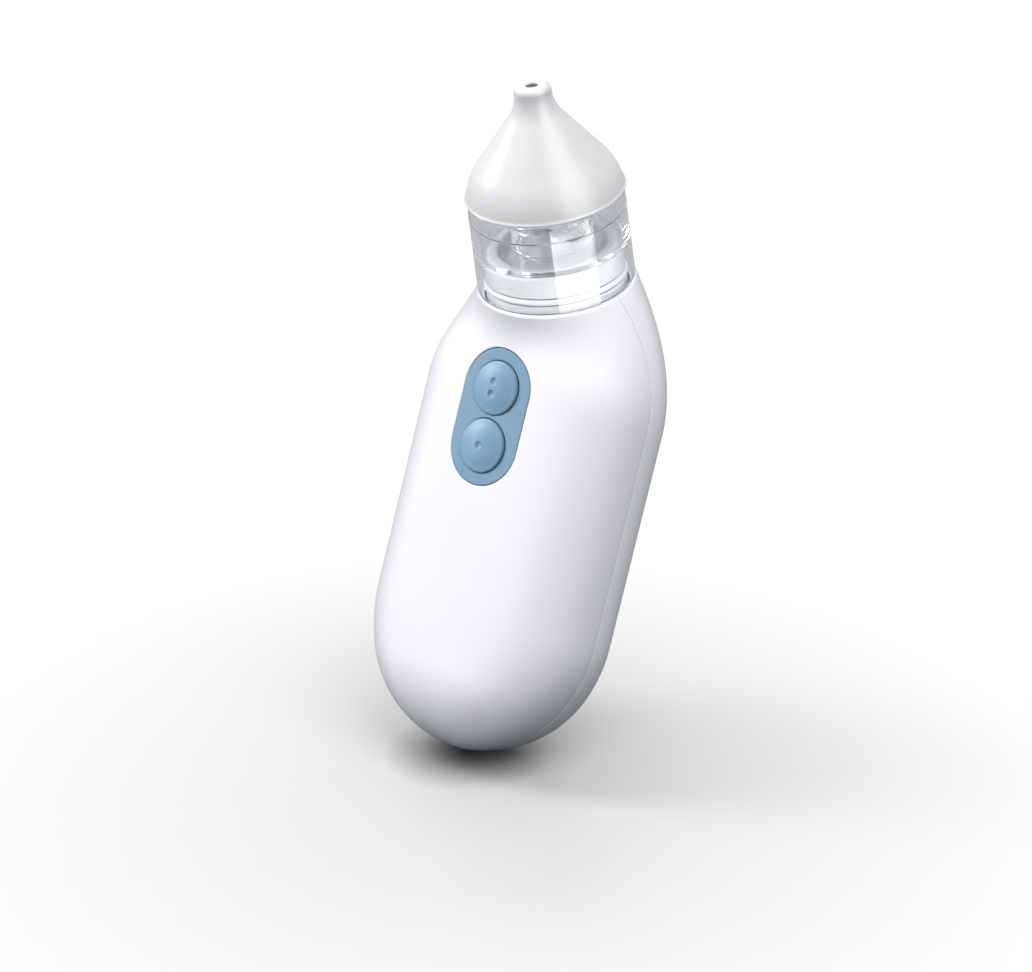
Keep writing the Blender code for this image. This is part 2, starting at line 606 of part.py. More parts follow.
def spring_path():
    """A coil that narrows as it rises."""
    steps = int(SPRING_TURNS * 12)
    points = []
    for k in range(steps + 1):
        t = k / steps
        angle = 2 * math.pi * SPRING_TURNS * t
        radius = SPRING_RADIUS * (1 - 0.6 * t)
        points.append((radius * math.cos(angle), radius * math.sin(angle), SPRING_HEIGHT * t))
    return points


def build_motor(handle, looks):
    axis = (0, SHAFT_Y, 0)
    can = [(0, MOTOR_LOW_Z), (MOTOR_RADIUS - 0.6, MOTOR_LOW_Z), (MOTOR_RADIUS, MOTOR_LOW_Z + 0.6),
           (MOTOR_RADIUS, MOTOR_TOP_Z - 1.2), (MOTOR_RADIUS - 0.8, MOTOR_TOP_Z - 0.6),
           (MOTOR_NOSE_RADIUS, MOTOR_TOP_Z - 0.6), (MOTOR_NOSE_RADIUS, MOTOR_TOP_Z),
           (SHAFT_RADIUS + SHAFT_PLAY, MOTOR_TOP_Z),
           (SHAFT_RADIUS + SHAFT_PLAY, MOTOR_LOW_Z + 2.0), (0, MOTOR_LOW_Z + 2.0)]
    add_solid("motor_can", turned(can, 28), handle, axis, look=looks["steel"])
    cap_top = MOTOR_LOW_Z - GAP
    add_solid("motor_end_cap",
              turned(rod_profile(MOTOR_RADIUS - 0.8, TRAY_TOP_Z + GAP, cap_top, 0.4), 24),
              handle, axis, look=looks["black"])
    inner = MOTOR_RADIUS + 0.25
    outer = inner + SLEEVE_WALL
    sleeve = [(inner, SLEEVE_LOW_Z), (outer, SLEEVE_LOW_Z), (outer, SLEEVE_TOP_Z),
              (inner, SLEEVE_TOP_Z)]
    add_solid("motor_sleeve", turned(sleeve, 28), handle, axis, look=looks["rubber"])
    add_solid("motor_shaft",
              turned(rod_profile(SHAFT_RADIUS, MOTOR_LOW_Z + 2.4, ROD_Z + 3.6, 0.2), 14),
              handle, axis, look=looks["steel"])
    bore = SHAFT_RADIUS + 0.05
    crank = add_solid("pump_eccentric",
                      cylinder(CRANK_RADIUS, ROD_Z - CRANK_HALF_HEIGHT, ROD_Z + CRANK_HALF_HEIGHT, 24),
                      handle, axis, look=looks["brass"])
    crank.data.transform(Matrix.Translation((0, -CRANK_OFFSET * MM, 0)))
    hole = add_cutter("eccentric_bore", cylinder(bore, ROD_Z - 5, ROD_Z + 5, 14), handle, axis)
    combine(crank, hole, "DIFFERENCE")


def build_pump(handle, looks):
    housing = add_solid("pump_housing",
                        block((-HOUSING_HALF_WIDTH, HOUSING_FRONT_Y, HOUSING_LOW_Z),
                              (HOUSING_HALF_WIDTH, HOUSING_REAR_Y, HOUSING_TOP_Z), HOUSING_EDGE),
                        handle, look=looks["grey"])
    floor_z = HOUSING_LOW_Z + HOUSING_FLOOR
    well = add_cutter("crank_well", cylinder(CRANK_WELL_RADIUS, floor_z, HOUSING_TOP_Z + 2, 28),
                      handle, (0, SHAFT_Y, 0))
    shaft_hole = add_cutter("shaft_hole",
                            cylinder(SHAFT_HOLE_RADIUS, HOUSING_LOW_Z - 2, floor_z + 1.6, 14),
                            handle, (0, SHAFT_Y, 0))
    window = add_cutter("rod_window",
                        cylinder(ROD_WINDOW_RADIUS, -8.1, 1.3 - HOUSING_FRONT_Y, 18),
                        handle, (0, 0, ROD_Z), (math.pi / 2, 0, 0))
    for other in (well, shaft_hole, window):
        combine(housing, other, "DIFFERENCE", "MANIFOLD")
    head = add_solid("pump_head",
                     block((-HOUSING_HALF_WIDTH, HEAD_FRONT_Y, HOUSING_LOW_Z),
                           (HOUSING_HALF_WIDTH, HEAD_REAR_Y, HOUSING_TOP_Z), HEAD_EDGE),
                     handle, look=looks["black"])
    port_top = HOUSING_TOP_Z + PORT_HEIGHT
    spigot = add_cutter("port_spigot", cylinder(PORT_RADIUS, HOUSING_TOP_Z - 2, port_top, 16),
                        handle, (0, PORT_Y, 0))
    passage = add_cutter("port_passage", cylinder(PORT_BORE, ROD_Z, port_top + 2, 12), handle,
                         (0, PORT_Y, 0))
    chamber = add_cutter("pump_chamber", cylinder(CHAMBER_RADIUS, -HEAD_REAR_Y - 1.0, 0.0, 20),
                         handle, (0, 0, ROD_Z), (math.pi / 2, 0, 0))
    combine(head, spigot, "UNION")
    combine(head, passage, "DIFFERENCE")
    combine(head, chamber, "DIFFERENCE")
    add_pump_screws(handle, looks, head, housing)


def add_pump_screws(handle, looks, head, housing):
    middle = (HOUSING_LOW_Z + HOUSING_TOP_Z) / 2
    number = 0
    for x in (-PUMP_SCREW_X, PUMP_SCREW_X):
        for z in (middle - PUMP_SCREW_DZ, middle + PUMP_SCREW_DZ):
            number += 1
            hole = add_cutter(f"pump_screw_hole_{number}", cylinder(PUMP_HOLE_RADIUS, -11.5, 6.0, 10),
                              handle, (x, 0, z), (math.pi / 2, 0, 0))
            combine(head, hole, "DIFFERENCE")
            combine(housing, hole, "DIFFERENCE", "MANIFOLD")
            add_solid(f"pump_screw_{number}", turned(screw_profile(*PUMP_SCREW), 12),
                      handle, (x, HEAD_FRONT_Y - 0.2, z), (math.pi / 2, 0, 0), looks["steel"])


def build_rod(handle, looks):
    """The diaphragm and the rod that pulls it, on the line of the stroke."""
    disc = turned(rod_profile(DIAPHRAGM_RADIUS, -DIAPHRAGM_THICK, 0, 0.3), 24)
    add_solid("pump_diaphragm", disc, handle, (0, DIAPHRAGM_FRONT_Y, ROD_Z),
              (math.pi / 2, 0, 0), looks["rubber"])
    eye_y = SHAFT_Y - CRANK_OFFSET
    low, top = -EYE_HALF_HEIGHT, EYE_HALF_HEIGHT
    eye = [(EYE_BORE, low), (EYE_RADIUS, low), (EYE_RADIUS, top), (EYE_BORE, top)]
    rod = add_solid("pump_rod", turned(eye, 28), handle, (0, eye_y, ROD_Z), look=looks["white"])
    rear = DIAPHRAGM_FRONT_Y + DIAPHRAGM_THICK + 0.2
    arm = add_cutter("rod_arm", cylinder(ROD_RADIUS, -(eye_y - EYE_BORE - 0.4), -rear, 14), handle,
                     (0, 0, ROD_Z), (math.pi / 2, 0, 0))
    combine(rod, arm, "UNION")


def build_wires(handle, looks):
    back = BOARD_FRONT_Y + BOARD_THICK + 0.4
    for side, sign, look in (("red", -1, "red"), ("black", 1, "black")):
        x, low, top = sign * MOTOR_WIRE_X, MOTOR_WIRE_LOW_Z, MOTOR_WIRE_TOP_Z
        path = bezier((x, back, low), (x, back + 2.2, low), (x, back + 1.4, top),
                      (x, MOTOR_WIRE_END_Y, top), 8)
        add_solid(f"motor_wire_{side}", pipe(path, WIRE_RADIUS, 0, 8, (1, 0, 0)), handle,
                  look=looks[look])
        x, low, top = sign * BATTERY_WIRE_X, BATTERY_WIRE_LOW_Z, BATTERY_WIRE_TOP_Z
        path = bezier((x, back, low), (x, back + 1.6, low), (x, back + 1.6, top),
                      (x, TRAY_FRONT_Y - GAP, top), 8)
        add_solid(f"battery_wire_{side}", pipe(path, WIRE_RADIUS, 0, 8, (1, 0, 0)), handle,
                  look=looks[look])


def nozzle_point(forward, height):
    """A point of the nozzle's frame, in the handle's frame; forward is along its -y."""
    return (0, -forward * math.cos(BEND) - height * math.sin(BEND),
            -forward * math.sin(BEND) + height * math.cos(BEND))


def build_suction_tube(handle, looks):
    start = (0, PORT_Y, HOUSING_TOP_Z + 0.5)
    leave = (0, PORT_Y, HOUSING_TOP_Z + 4.0)
    arrive = nozzle_point(0, SPOUT_LOW - 2.6)
    end = nozzle_point(0, SPOUT_LOW + 1.6)
    path = bezier(start, leave, arrive, end, 9)
    add_solid("suction_tube", pipe(path, TUBE_OUTER, TUBE_INNER, 12, (1, 0, 0)), handle,
              look=looks["silicone"])


def plug_profile():
    """The inlet plug: groove for the seal outside, a tower standing in a well, bored through."""
    top_edge = arc((PLUG_RADIUS - PLUG_EDGE, PLUG_TOP - PLUG_EDGE), PLUG_EDGE, 0, 90, 4)
    groove_low, groove_top = SEAL_HEIGHT - 1.0, SEAL_HEIGHT + 1.0
    groove = SEAL_RADIUS - SEAL_WIRE - 0.25
    well = PLUG_TOP - WELL_DEPTH
    tower_edge = arc((TOWER_RADIUS - TOWER_EDGE, TOWER_TOP - TOWER_EDGE), TOWER_EDGE, 0, 90, 3)
    return ([(PORT_BORE, SPOUT_LOW), (PORT_RADIUS, SPOUT_LOW), (PORT_RADIUS, PLUG_LOW),
             (PLUG_RADIUS, PLUG_LOW), (PLUG_RADIUS, groove_low), (groove, groove_low),
             (groove, groove_top), (PLUG_RADIUS, groove_top)] + top_edge
            + [(WELL_RADIUS + WELL_SLOPE, PLUG_TOP), (WELL_RADIUS, well), (TOWER_RADIUS, well)]
            + tower_edge + [(PORT_BORE, TOWER_TOP)])


def cup_profile():
    """The clear cup: skirt, outer wall, spigot for the tip, floor and standpipe."""
    outer_low, inner_low = SEAT_RADIUS, SEAT_RADIUS - CUP_WALL
    inner_top = SPIGOT_RADIUS - SPIGOT_WALL
    pipe_inner = STANDPIPE_RADIUS - STANDPIPE_WALL
    floor_top = CUP_FLOOR + CUP_FLOOR_THICK
    return [(outer_low, GAP), (CUP_TOP_RADIUS, CUP_TOP), (SPIGOT_RADIUS, CUP_TOP),
            (SPIGOT_RADIUS, SPIGOT_TOP), (inner_top, SPIGOT_TOP), (inner_top + 0.3, floor_top + 1.5),
            (inner_top - 1.0, floor_top), (STANDPIPE_RADIUS + 0.8, floor_top),
            (STANDPIPE_RADIUS, floor_top + 0.8), (STANDPIPE_RADIUS - 0.2, STANDPIPE_TOP),
            (pipe_inner, STANDPIPE_TOP), (pipe_inner, CUP_FLOOR), (inner_low, CUP_FLOOR),
            (inner_low, GAP)]


def tip_curve(inset, steps):
    """The tip's flank: a convex shoulder, a straight run and a concave neck, all tangent."""
    shoulder_bend, neck_bend = TIP_SHOULDER_BEND - inset, TIP_NECK_BEND + inset
    low = Vector((TIP_RADIUS - TIP_SHOULDER_BEND, TIP_SHOULDER_HEIGHT))
    high = Vector((TIP_NECK_RADIUS + TIP_NECK_BEND, TIP_NECK_HEIGHT))
    between = high - low
    lie = math.atan2(between.y, between.x)
    turn = math.degrees(lie - math.acos((shoulder_bend + neck_bend) / between.length))
    start = math.degrees(math.asin((TIP_LOW + 0.4 - TIP_SHOULDER_HEIGHT) / shoulder_bend))
    curve = arc(low, shoulder_bend, start, turn, steps)
    return curve + arc(high, neck_bend, turn + 180, 180, steps)


def tip_profile():
    lip = arc((TIP_NECK_RADIUS - TIP_LIP, TIP_TOP - TIP_LIP), TIP_LIP, 0, 90, 3)
    outside = [(TIP_RADIUS - 0.3, TIP_LOW)] + tip_curve(0.0, 6) + lip
    inside = [point for point in tip_curve(TIP_WALL, 4)
              if point[1] > SPIGOT_TOP + 1.0 and point[0] > TIP_HOLE + 0.4]
    bore = SPIGOT_RADIUS + GAP
    return (outside + [(TIP_HOLE, TIP_TOP), (TIP_HOLE, inside[-1][1] + 1.0)] + inside[::-1]
            + [(bore, SPIGOT_TOP + 0.6), (bore, TIP_LOW)])


def build_head(nozzle, looks):
    add_solid("neck_plug", turned(plug_profile(), 32), nozzle, look=looks["white"])
    seal = [(SEAL_RADIUS + x, SEAL_HEIGHT + y) for x, y in arc((0, 0), SEAL_WIRE, 0, 300, 5)]
    add_solid("plug_seal", turned(seal, 32), nozzle, look=looks["silicone"])
    add_solid("collection_cup", turned(cup_profile(), 36), nozzle, look=looks["clear"])
    add_solid("silicone_tip", turned(tip_profile(), 30), nozzle, look=looks["silicone"])


def build():
    clear_scene()
    looks = {
        "white": material("white_plastic", (0.86, 0.87, 0.89), 0.22),
        "blue": material("blue_plastic", (0.26, 0.42, 0.58), 0.35),
        "button": material("button_blue", (0.28, 0.45, 0.61), 0.30),
        "clear": material("clear_plastic", (0.95, 0.97, 0.98), 0.05, 0.0, 0.9),
        "silicone": material("white_silicone", (0.88, 0.89, 0.90), 0.50),
        "rubber": material("black_rubber", (0.05, 0.05, 0.05), 0.80),
        "black": material("black_plastic", (0.04, 0.04, 0.04), 0.45),
        "red": material("red_insulation", (0.60, 0.04, 0.03), 0.50),
        "grey": material("grey_plastic", (0.35, 0.36, 0.38), 0.50),
        "green": material("board_green", (0.03, 0.20, 0.08), 0.40),
        "cell": material("cell_jacket", (0.12, 0.13, 0.15), 0.35),
        "steel": material("plated_steel", (0.72, 0.72, 0.70), 0.30, 1.0),
        "brass": material("turned_brass", (0.75, 0.58, 0.28), 0.30, 1.0),
    }
    handle = frame_empty("handle_frame", -HANDLE_LEAN)
    nozzle = frame_empty("nozzle_frame", NOZZLE_LEAN)
    build_front_shell(handle, looks)
    build_rear_shell(handle, looks)
    build_cover(handle, looks)
    build_surround(handle, looks)
    build_buttons(handle, looks)
    build_board(handle, looks)
    build_battery_bay(handle, looks)
    build_motor(handle, looks)
    build_pump(handle, looks)
    build_rod(handle, looks)
    build_wires(handle, looks)
    build_suction_tube(handle, looks)
    build_head(nozzle, looks)


build()
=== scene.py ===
"""Looks of the hand-held nasal aspirator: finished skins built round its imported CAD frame.

Shapes are worked out in millimetres in two local frames that share one origin, the centre of
the seat where the collection cup stands on the handle.  In both, x is across the object, -y is
the front with the buttons and z runs up the piece: up the handle, or up the cup and tip.
"""

import json
from math import acos, asin, atan2, copysign, cos, degrees, hypot, pi, radians, sin, sqrt, tan

import bmesh
import bpy
from mathutils import Matrix, Vector
from mathutils.bvhtree import BVHTree


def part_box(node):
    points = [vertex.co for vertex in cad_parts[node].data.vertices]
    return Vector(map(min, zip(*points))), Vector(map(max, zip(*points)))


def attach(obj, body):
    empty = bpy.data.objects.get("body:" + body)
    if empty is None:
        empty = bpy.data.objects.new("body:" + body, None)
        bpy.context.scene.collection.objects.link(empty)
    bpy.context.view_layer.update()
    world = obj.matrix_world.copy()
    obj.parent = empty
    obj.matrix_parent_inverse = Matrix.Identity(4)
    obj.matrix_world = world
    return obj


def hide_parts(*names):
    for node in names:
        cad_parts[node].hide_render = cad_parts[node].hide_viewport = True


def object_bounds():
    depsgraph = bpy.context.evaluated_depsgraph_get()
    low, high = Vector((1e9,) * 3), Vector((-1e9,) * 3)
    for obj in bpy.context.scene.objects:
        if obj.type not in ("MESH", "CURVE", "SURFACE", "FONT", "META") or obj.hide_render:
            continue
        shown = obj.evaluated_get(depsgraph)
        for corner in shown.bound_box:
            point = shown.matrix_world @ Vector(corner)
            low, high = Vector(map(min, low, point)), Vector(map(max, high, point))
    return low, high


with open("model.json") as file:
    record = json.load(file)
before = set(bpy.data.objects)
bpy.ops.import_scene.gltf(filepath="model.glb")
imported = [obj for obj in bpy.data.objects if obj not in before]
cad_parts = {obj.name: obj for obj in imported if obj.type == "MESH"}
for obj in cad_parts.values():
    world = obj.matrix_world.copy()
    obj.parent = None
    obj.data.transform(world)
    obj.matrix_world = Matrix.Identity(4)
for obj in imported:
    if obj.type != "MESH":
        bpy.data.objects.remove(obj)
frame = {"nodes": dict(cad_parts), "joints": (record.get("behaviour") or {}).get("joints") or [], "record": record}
cad_low, cad_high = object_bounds()

MM = 0.001

# The two local frames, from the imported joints
JOINTS = {joint["name"]: joint for joint in frame["joints"]}
SHAFT_Y = 10.7
ACROSS = Vector((1, 0, 0))
HANDLE_BACK = Vector(JOINTS["cover_lift"]["axis"])
HANDLE_UP = Vector(JOINTS["motor_spin"]["axis"])
NOZZLE_UP = Vector(JOINTS["cup_pull"]["axis"])
SEAT = Vector(JOINTS["motor_spin"]["pos_m"]) - HANDLE_BACK * SHAFT_Y * MM
BEND = HANDLE_UP.angle(NOZZLE_UP)

# Handle, outside: the same section law as the CAD, read at a finer pitch
HANDLE_LENGTH = 113.6
HALF_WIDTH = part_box("front_shell")[1].x / MM
FRONT_DEPTH, REAR_DEPTH, REAR_FLAT = 20.1, 15.8, 0.35
PARTING_Y = 7.5
SHOULDER_Z = -29.2
SHOULDER_REACH = hypot(PARTING_Y, SHOULDER_Z)
SHOULDER_TURN = radians(60.3)
SEAT_RADIUS = 18.5
FRONT_POWER, REAR_POWER, SEAT_POWER = 2.59, 2.9, 2.0
END_WIDTH_RUN, END_WIDTH_POWER = 32.5, 1.85
END_DEPTH_RUN, END_DEPTH_POWER = 20.5, 2.15
WALL = 2.0
SEAM_HALF, SEAM_ROUND = 0.03, 0.2
RIM_ROUND = 0.5
STRAIGHT_ROWS, SHOULDER_ROWS, HALF_COLUMNS, ROUND_STEPS = 52, 30, 72, 4
HALVINGS, RAY_START = 40, 100.0

# Meshing: points merged and slivers dropped, in mm, sharp edges, and how profiles turn corners
MERGE, SLIVER, SHARP_ANGLE = 0.002, 0.0005, radians(35.0)
ROUNDNESS, MEET = 1.2, 0.49

# Rings laid from an edge of the skin's grid to a cut, as shares of the way
WINDOW_LAPS, PANEL_LAPS = (0.25, 0.47, 0.66, 0.82, 0.93), (0.2, 0.45, 0.7, 0.88)
COVER_LAPS = (0.2, 0.4, 0.6, 0.8, 0.93)
PANEL_MARGIN, COVER_MARGIN = 3.5, 3.0
WINDOW_SPARE, WINDOW_NARROWEST = 1.0, 0.62

# Buttons and their surround
PANEL_Z, PANEL_RADIUS, PANEL_HALF_LENGTH = -34.0, 9.75, 16.25
PANEL_GAP, PANEL_SUNK, PANEL_FLOOR = 0.2, 0.15, 1.15
POCKET_DEPTH, POCKET_LEDGE = 1.35, 1.6
PANEL_BACK, PANEL_SPOKES, CORNER_SHARE = POCKET_DEPTH - 0.05, 120, 0.0001
EDGE_ROUND = 0.22
BUTTON_RADIUS, BUTTON_OFFSET, BUTTON_PROUD, BUTTON_SKIRT = 6.3, 6.85, 1.5, 0.2
BUTTON_DOME, BUTTON_CAP, BUTTON_CELLS = 15.0, 4.9, 76
BUTTON_SHOULDER, BUTTON_DROP, BUTTON_STEPS = 0.8, 0.2, 8
SKIRT_TOP = BUTTON_SKIRT - 0.1
BUTTON_GAP, BORE_ROUND = 0.1, 0.3
STEM_RADIUS, STEM_LENGTH, STEM_PLAY = 1.9, 3.4, 0.4
DIMPLE_RADIUS, DIMPLE_DEPTH, DIMPLE_PITCH, DIMPLE_POWER = 0.98, 0.5, 2.9, 2.6

# Battery cover
COVER_HALF_WIDTH, COVER_LOW_Z, COVER_TOP_Z, COVER_CORNER = 17.5, -100.0, -40.0, 6.0
COVER_GAP, COVER_WALL = 0.22, 1.6
PLATE_HALF_WIDTH, PLATE_RISE, PLATE_DROP = 10.0, 7.0, 4.4
PLATE_COLUMNS, PLATE_ROWS, GRIP_ROW = 40, 30, 0.14
GRIP_COUNT, GRIP_PITCH, GRIP_DROP, GRIP_HALF_LENGTH = 3, 2.2, 6.0, 8.0
GRIP_HALF_WIDTH, GRIP_DEPTH = 0.75, 0.5

# Case screws' posts and shelves, along y
CASE_SCREW_X, CASE_SCREW_Z, CASE_BORE_RADIUS = 14.4, -43.8, 1.3
POST_RADIUS, POST_FRONT_Y, POST_REAR_Y = 2.5, -9.0, 16.3
SHELF_RADIUS, SHELF_FRONT_Y, SHELF_REAR_Y = 3.2, 16.6, 18.4
POST_STEPS = 48

# Plug, cup and tip
PLUG_RADIUS, PLUG_LOW, PLUG_TOP, PLUG_EDGE = 16.0, -3.0, 9.1, 1.5
WELL_RADIUS, WELL_DEPTH, WELL_SLOPE = 12.4, 3.0, 0.4
TOWER_RADIUS, TOWER_TOP, SPOUT_LOW, SPOUT_RADIUS, AIR_BORE = 5.0, 13.0, -6.5, 1.3, 0.7
SEAL_RADIUS, SEAL_WIRE, SEAL_HEIGHT = 15.75, 0.7, 2.6
GROOVE_HALF, GROOVE_PLAY = 1.0, 0.25
CUP_LOW, CUP_TOP, CUP_TOP_RADIUS, CUP_WALL = 0.3, 22.5, 18.2, 1.6
CUP_FLOOR, CUP_FLOOR_THICK = 9.6, 1.0
STANDPIPE_RADIUS, STANDPIPE_WALL, STANDPIPE_TOP = 9.2, 1.2, 16.0
SPIGOT_RADIUS, SPIGOT_TOP, SPIGOT_WALL = 16.4, 27.0, 1.4
COLLAR_HEIGHT, COLLAR_STEP = 5.0, 0.5
RIM_EDGE, FLOOR_EDGE, SPIGOT_EDGE, FINE_EDGE = 0.35, 0.5, 0.4, 0.15
CHAMBER_DRAFT, PIPE_DRAFT = 0.1, 0.15
TIP_LOW, TIP_TOP, TIP_RADIUS, TIP_WALL = 22.8, 49.6, 18.7, 2.0
TIP_SHOULDER_HEIGHT, TIP_SHOULDER_BEND = 20.1, 17.2
TIP_NECK_RADIUS, TIP_NECK_HEIGHT, TIP_NECK_BEND = 4.3, 48.0, 10.2
TIP_LIP, TIP_HOLE, TIP_MOUTH, TIP_BEAD, TIP_PLAY, TIP_FLANK = 1.6, 1.4, 0.7, 0.3, 0.3, 0.9
TURN_STEPS = 144

# How far a moulded surface turns away as its colour drops to a painted shade, where 1 is edge-on
PAINTED_EDGE_SHADE_TURN = 0.45, 0.95

# Camera: which way it looks from, and how far off and beside the seat it stands, in mm
CAMERA_AZIMUTH, CAMERA_ELEVATION = radians(40.54), radians(22.85)
CAMERA_DISTANCE, CAMERA_ASIDE, CAMERA_ABOVE = 732.6, -9.40, -48.09
CAMERA_LENS, CAMERA_SENSOR = 109.89, 36.0

# Studio: its tone low on the right and high on the left, the part of it that mirrored rays see,
# the white that the camera sees behind the object, and how many times light may bounce
STUDIO_TONES, STUDIO_RISE, STUDIO_LEFT = ((0.045, 0.058, 0.075), (0.95, 0.95, 0.95)), 0.8, 0.6
SOFTBOX_AIM = (0, -40, 0)
MIRRORED_SHARE = 0.55
BACKDROP = 1.05
LIGHT_BOUNCES = 24

# Floor: the tone of its painted shadow under the foot and its tone farther off, where it fades to white, in metres
# from a point a little in front of the foot, and what it sends back up
PAINTED_SHADOW_TONE, FLOOR_TONE, PAINTED_SHADOW_REACH = (0.06, 0.06, 0.065), (0.5, 0.5, 0.505), 0.02
FLOOR_FADE, FLOOR_SHIFT, FLOOR_REACH = (0.036, 0.165), 0.03, 4.0
FLOOR_BOUNCE, FLOOR_SHEEN = (0.088, 0.1, 0.118), 1.0

# The card that the cup mirrors, placed from the seat round the cup's axis
CARD_AZIMUTH, CARD_DISTANCE, CARD_ASIDE, CARD_LEVEL = radians(29.5), 110.0, -5.2, -49.0
CARD_SIZE, CARD_RADIANCE = (128.5, 60.0), 6.5


def local_frame(back, up):
    """Takes millimetres in a local frame to metres in the row frame."""
    turn = Matrix((ACROSS, back, up)).transposed().to_4x4()
    return Matrix.Translation(SEAT) @ turn @ Matrix.Scale(MM, 4)


HANDLE = local_frame(HANDLE_BACK, HANDLE_UP)
NOZZLE = local_frame(NOZZLE_UP.cross(ACROSS), NOZZLE_UP)


# ---------------- materials


class Nodes:
    """A node tree under construction."""

    def __init__(self, tree):
        self.tree = tree

    def feed(self, node, inputs):
        """Give a node's inputs values, or links from other nodes' outputs."""
        for key, value in inputs.items():
            if isinstance(value, bpy.types.NodeSocket):
                self.tree.links.new(value, node.inputs[key])
            else:
                node.inputs[key].default_value = value

    def node(self, kind, inputs=None, **settings):
        """A new shader node with its inputs, by name or number, and its settings."""
        made = self.tree.nodes.new(f"ShaderNode{kind}")
        for key, value in settings.items():
            setattr(made, key, value)
        self.feed(made, inputs or {})
        return made

    def mixed(self, share, one, other):
        """The shader one where share is 0, and the other where it is 1."""
        return self.node("MixShader", {0: share, 1: one, 2: other}).outputs["Shader"]

    def scattered(self):
        """1 for rays that gather soft light for a surface, part of that for mirrored ones and
        0 for what is seen."""
        rays = self.node("LightPath").outputs
        terms = {0: rays["Is Glossy Ray"], 1: MIRRORED_SHARE, 2: rays["Is Diffuse Ray"]}
        return self.node("Math", terms, operation="MULTIPLY_ADD").outputs["Value"]


class Look(Nodes):
    """A node material under construction, with short ways to add the usual nodes."""

    def __init__(self, name):
        self.material = bpy.data.materials.new(name)
        self.material.use_nodes = True
        super().__init__(self.material.node_tree)
        self.shader = self.tree.nodes["Principled BSDF"]
        self.output = self.tree.nodes["Material Output"]
        self.place = self.node("TexCoord").outputs["Object"]

    def noise(self, size_mm, detail=3.0, roughness=0.5, stretch=(1, 1, 1)):
        """A noise field whose features are about size_mm across."""
        scale = [s / (size_mm * MM) for s in stretch]
        mapping = self.node("Mapping", {"Vector": self.place, "Scale": scale})
        return self.node("TexNoise", {
            "Vector": mapping.outputs["Vector"], "Scale": 1.0, "Detail": detail,
            "Roughness": roughness}).outputs["Fac"]

    def blended(self, share, one, other, how="MIX"):
        """Two colours blended by share."""
        inputs = {"Factor": share, "A": one, "B": other}
        return self.node("Mix", inputs, data_type="RGBA", blend_type=how).outputs["Result"]

    def between(self, field, low, high, start=0.3, end=0.7):
        """The field mapped from start..end to low..high, which are numbers or colours."""
        span = {"Value": field, "From Min": start, "From Max": end}
        if isinstance(low, tuple):
            share = self.node("MapRange", span).outputs["Result"]
            return self.blended(share, (*low, 1.0), (*high, 1.0))
        span.update({"To Min": low, "To Max": high})
        return self.node("MapRange", span).outputs["Result"]

    def bump(self, field, height_mm, strength=1.0, **under):
        """A bumped normal, over another one if it is given as Normal."""
        inputs = {"Height": field, "Distance": height_mm * MM, "Strength": strength, **under}
        return self.node("Bump", inputs).outputs["Normal"]

    def use(self, **inputs):
        """Feed the shader by input name, with _ for each space."""
        self.feed(self.shader, {key.replace("_", " "): value for key, value in inputs.items()})
        return self.material


def moulded(name, colour, shade, gloss, grain_mm, grain_height, coat=0.0, rim=1.0):
    """Injection-moulded plastic: cloudy colour, a slightly uneven sheen and a fine grain, and
    a painted shade: a colour that drops to rim times itself where the surface turns away."""
    look = Look(name)
    cloud = look.noise(22.0, 2.0)
    grain = look.noise(grain_mm, 4.0, 0.6)
    ripple = look.bump(look.noise(9.0, 1.0), 0.02, 0.5)
    facing = look.node("LayerWeight").outputs["Facing"]
    # Painted shade: the colour is multiplied down towards rim where the surface is seen edge-on
    tone = look.blended(1.0, look.between(cloud, shade, colour),
                        look.between(facing, 1.0, rim, *PAINTED_EDGE_SHADE_TURN), "MULTIPLY")
    return look.use(Base_Color=tone, Roughness=look.between(grain, *gloss),
                    Normal=look.bump(grain, grain_height, Normal=ripple),
                    Coat_Weight=coat, Coat_Roughness=0.2, IOR=1.5)


def silicone(name, colour, shade):
    """Soft translucent white silicone with a satin, faintly cloudy surface."""
    look = Look(name)
    cloud = look.noise(12.0, 3.0)
    fine = look.noise(0.25, 3.0, 0.6)
    return look.use(Base_Color=look.between(cloud, shade, colour),
                    Roughness=look.between(fine, 0.28, 0.36), Normal=look.bump(fine, 0.005),
                    Subsurface_Weight=0.35, Subsurface_Scale=2.0 * MM,
                    Subsurface_Radius=(1.0, 0.9, 0.8),
                    Sheen_Weight=0.12, Sheen_Roughness=0.4, IOR=1.43)


def clear_plastic(name):
    """Polished clear plastic that lets lamps through to what stands inside it."""
    look = Look(name)
    wave = look.noise(7.0, 2.0, 0.5, (1, 1, 0.35))
    haze = look.noise(1.6, 3.0)
    look.use(Base_Color=look.between(wave, (0.875, 0.885, 0.895), (0.91, 0.915, 0.92)),
             Roughness=look.between(haze, 0.0, 0.03),
             Normal=look.bump(wave, 0.05, 0.6),
             Transmission_Weight=1.0, IOR=1.46)
    rays = look.node("LightPath").outputs
    passing = look.node("BsdfTransparent", {"Color": (0.93, 0.94, 0.95, 1.0)})
    mixed = look.mixed(rays["Is Shadow Ray"], look.shader.outputs["BSDF"],
                       passing.outputs["BSDF"])
    look.feed(look.output, {"Surface": mixed})
    return look.material


def metal(name, colour, shade):
    """Plated or turned metal with fine drawn marks."""
    look = Look(name)
    marks = look.noise(0.35, 4.0, 0.6, (1, 1, 0.08))
    stain = look.noise(5.0, 3.0)
    return look.use(Base_Color=look.between(stain, shade, colour), Metallic=1.0,
                    Roughness=look.between(marks, 0.22, 0.38), Normal=look.bump(marks, 0.004))


def rubber(name, colour, shade):
    """Matte black rubber with a little dust on it."""
    look = Look(name)
    fine = look.noise(0.3, 4.0, 0.7)
    dust = look.noise(6.0, 3.0)
    return look.use(Base_Color=look.between(dust, colour, shade),
                    Roughness=look.between(fine, 0.6, 0.85), Normal=look.bump(fine, 0.012))


